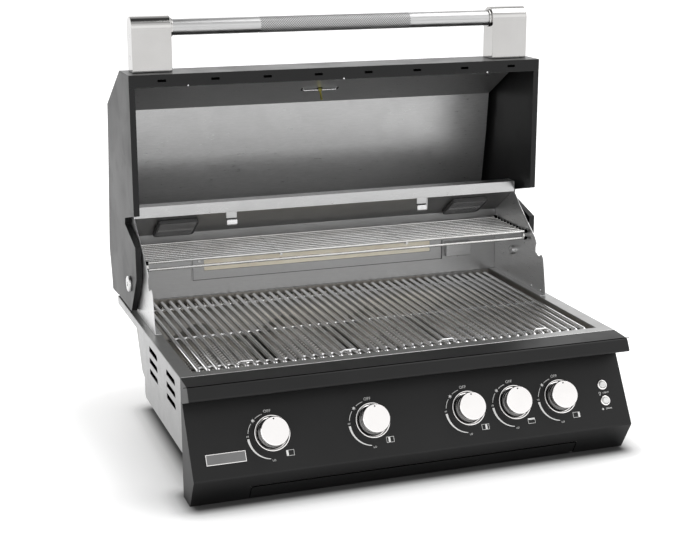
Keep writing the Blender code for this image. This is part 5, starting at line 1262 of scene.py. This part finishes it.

# Floor, light and camera
# The floor is darkest close to the grill because its colour and its glow rise with distance from the two
# boxes under the grill. This is a painted shadow, and it does not follow the lamp or the moving parts.
stageValues = {
    "floorSize": 60.0, "reach": 0.2,
    "footprints": (((0, -0.072, 0), (0.362, 0.246, 0.0)), ((0, -0.290, 0), (0.394, 0.028, 0.0))),
    "paint": ((0.0, 0.08), (0.03, 0.10), (0.08, 0.30), (0.15, 0.60), (0.25, 0.88), (0.30, 0.93)),
    "backdropGlowAndPaintedShade": ((0.0, 0.0), (0.03, 0.0), (0.08, 0.08), (0.15, 0.19), (0.25, 0.22), (0.45, 0.29), (0.65, 0.33),
             (1.0, 0.46)),
}


def rampOf(tree, value, steps):  # grey levels at set places between 0 and 1
    ramp = add(tree, "ValToRGB", {0: value})
    stops = ramp.color_ramp.elements
    for stop, (position, level) in ((stops[0], steps[0]), (stops[1], steps[-1])):
        stop.position, stop.color = position, (level, level, level, 1)
    for position, level in steps[1:-1]:
        stops.new(position).color = (level, level, level, 1)
    return ramp.outputs[0]


def makeStage():
    clearSelection()
    bpy.ops.mesh.primitive_plane_add(size=stageValues["floorSize"], location=(0, 0, 0))
    floor = bpy.context.object
    floor.name = "studioFloor"
    material, tree, shader, place = newMaterial("studioFloor")
    shader.inputs["Roughness"].default_value = 0.9
    shader.inputs["Specular IOR Level"].default_value = 0.1
    gaps = []
    for centre, half in stageValues["footprints"]:  # how far the floor is from what stands over it
        reach = place
        for operation, second in (("SUBTRACT", centre), ("ABSOLUTE", (0, 0, 0)), ("SUBTRACT", half),
                                  ("MAXIMUM", (0, 0, 0))):
            reach = vectorStep(tree, operation, reach, second)[0]
        gaps.append(vectorStep(tree, "LENGTH", reach)["Value"])
    share = spread(tree, times(tree, *gaps, "MINIMUM"), 0.0, stageValues["reach"])
    # painted shadow: the floor's colour darkens towards the grill
    tree.links.new(rampOf(tree, share, stageValues["paint"]), shader.inputs["Base Color"])
    path = add(tree, "LightPath").outputs
    seen = times(tree, path["Is Camera Ray"], path["Is Glossy Ray"], "MAXIMUM")
    shader.inputs["Emission Color"].default_value = (1, 1, 1, 1)
    # the glow that whitens the far floor fades out near the grill, deepening the painted shadow
    backdropGlowAndPaintedShade = times(tree, rampOf(tree, share, stageValues["backdropGlowAndPaintedShade"]), seen)
    tree.links.new(backdropGlowAndPaintedShade, shader.inputs["Emission Strength"])
    floor.data.materials.append(material)


worldValues = {  # a bright horizon, darker overhead
    "strength": 1.5,
    "levels": ((0.0, 0.66), (0.05, 1.0), (0.40, 1.0), (0.54, 0.70), (0.68, 0.66), (0.74, 0.40), (0.90, 0.34),
               (0.95, 0.05)),
}


def makeWorld():
    world = bpy.data.worlds.new("studio")
    bpy.context.scene.world = world
    world.use_nodes = True
    tree = world.node_tree
    back = tree.nodes["Background"]
    height = add(tree, "SeparateXYZ", {0: add(tree, "TexCoord").outputs["Generated"]}).outputs[2]
    seen = add(tree, "LightPath").outputs["Is Camera Ray"]
    colour = mixColour(tree, seen, rampOf(tree, height, worldValues["levels"]), (1, 1, 1))
    tree.links.new(colour, back.inputs["Color"])
    back.inputs["Strength"].default_value = worldValues["strength"]


lampValues = {"place": (1.5, -0.3, 3.0), "aim": (0.0, 0.0, 0.2), "width": 2.2, "height": 2.2, "power": 42.0}


def makeLamp():
    v = lampValues
    clearSelection()
    bpy.ops.object.light_add(type="AREA", location=v["place"])
    lamp = bpy.context.object
    lamp.name = "keyRight"
    lamp.data.shape = "RECTANGLE"
    lamp.data.size = v["width"]
    lamp.data.size_y = v["height"]
    lamp.data.energy = v["power"]
    lamp.rotation_euler = (Vector(v["aim"]) - Vector(v["place"])).to_track_quat("-Z", "Y").to_euler()


cameraValues = {"place": (-0.902, -2.4726, 0.9795), "down": 14.55, "turn": -19.74, "sensor": 36.0,
                "lens": 73.65, "far": 200.0}


def makeCamera():
    v = cameraValues
    clearSelection()
    bpy.ops.object.camera_add(location=v["place"])
    camera = bpy.context.object
    camera.name = "photoCamera"
    camera.rotation_euler = (math.radians(90 - v["down"]), 0, math.radians(v["turn"]))
    camera.data.sensor_width = v["sensor"]
    camera.data.lens = v["lens"]
    camera.data.clip_end = v["far"]
    camera.data.dof.use_dof = False
    bpy.context.scene.camera = camera


makeStage()
makeWorld()
makeLamp()
makeCamera()
bpy.context.scene.view_settings.view_transform = "Standard"
print("stage done")
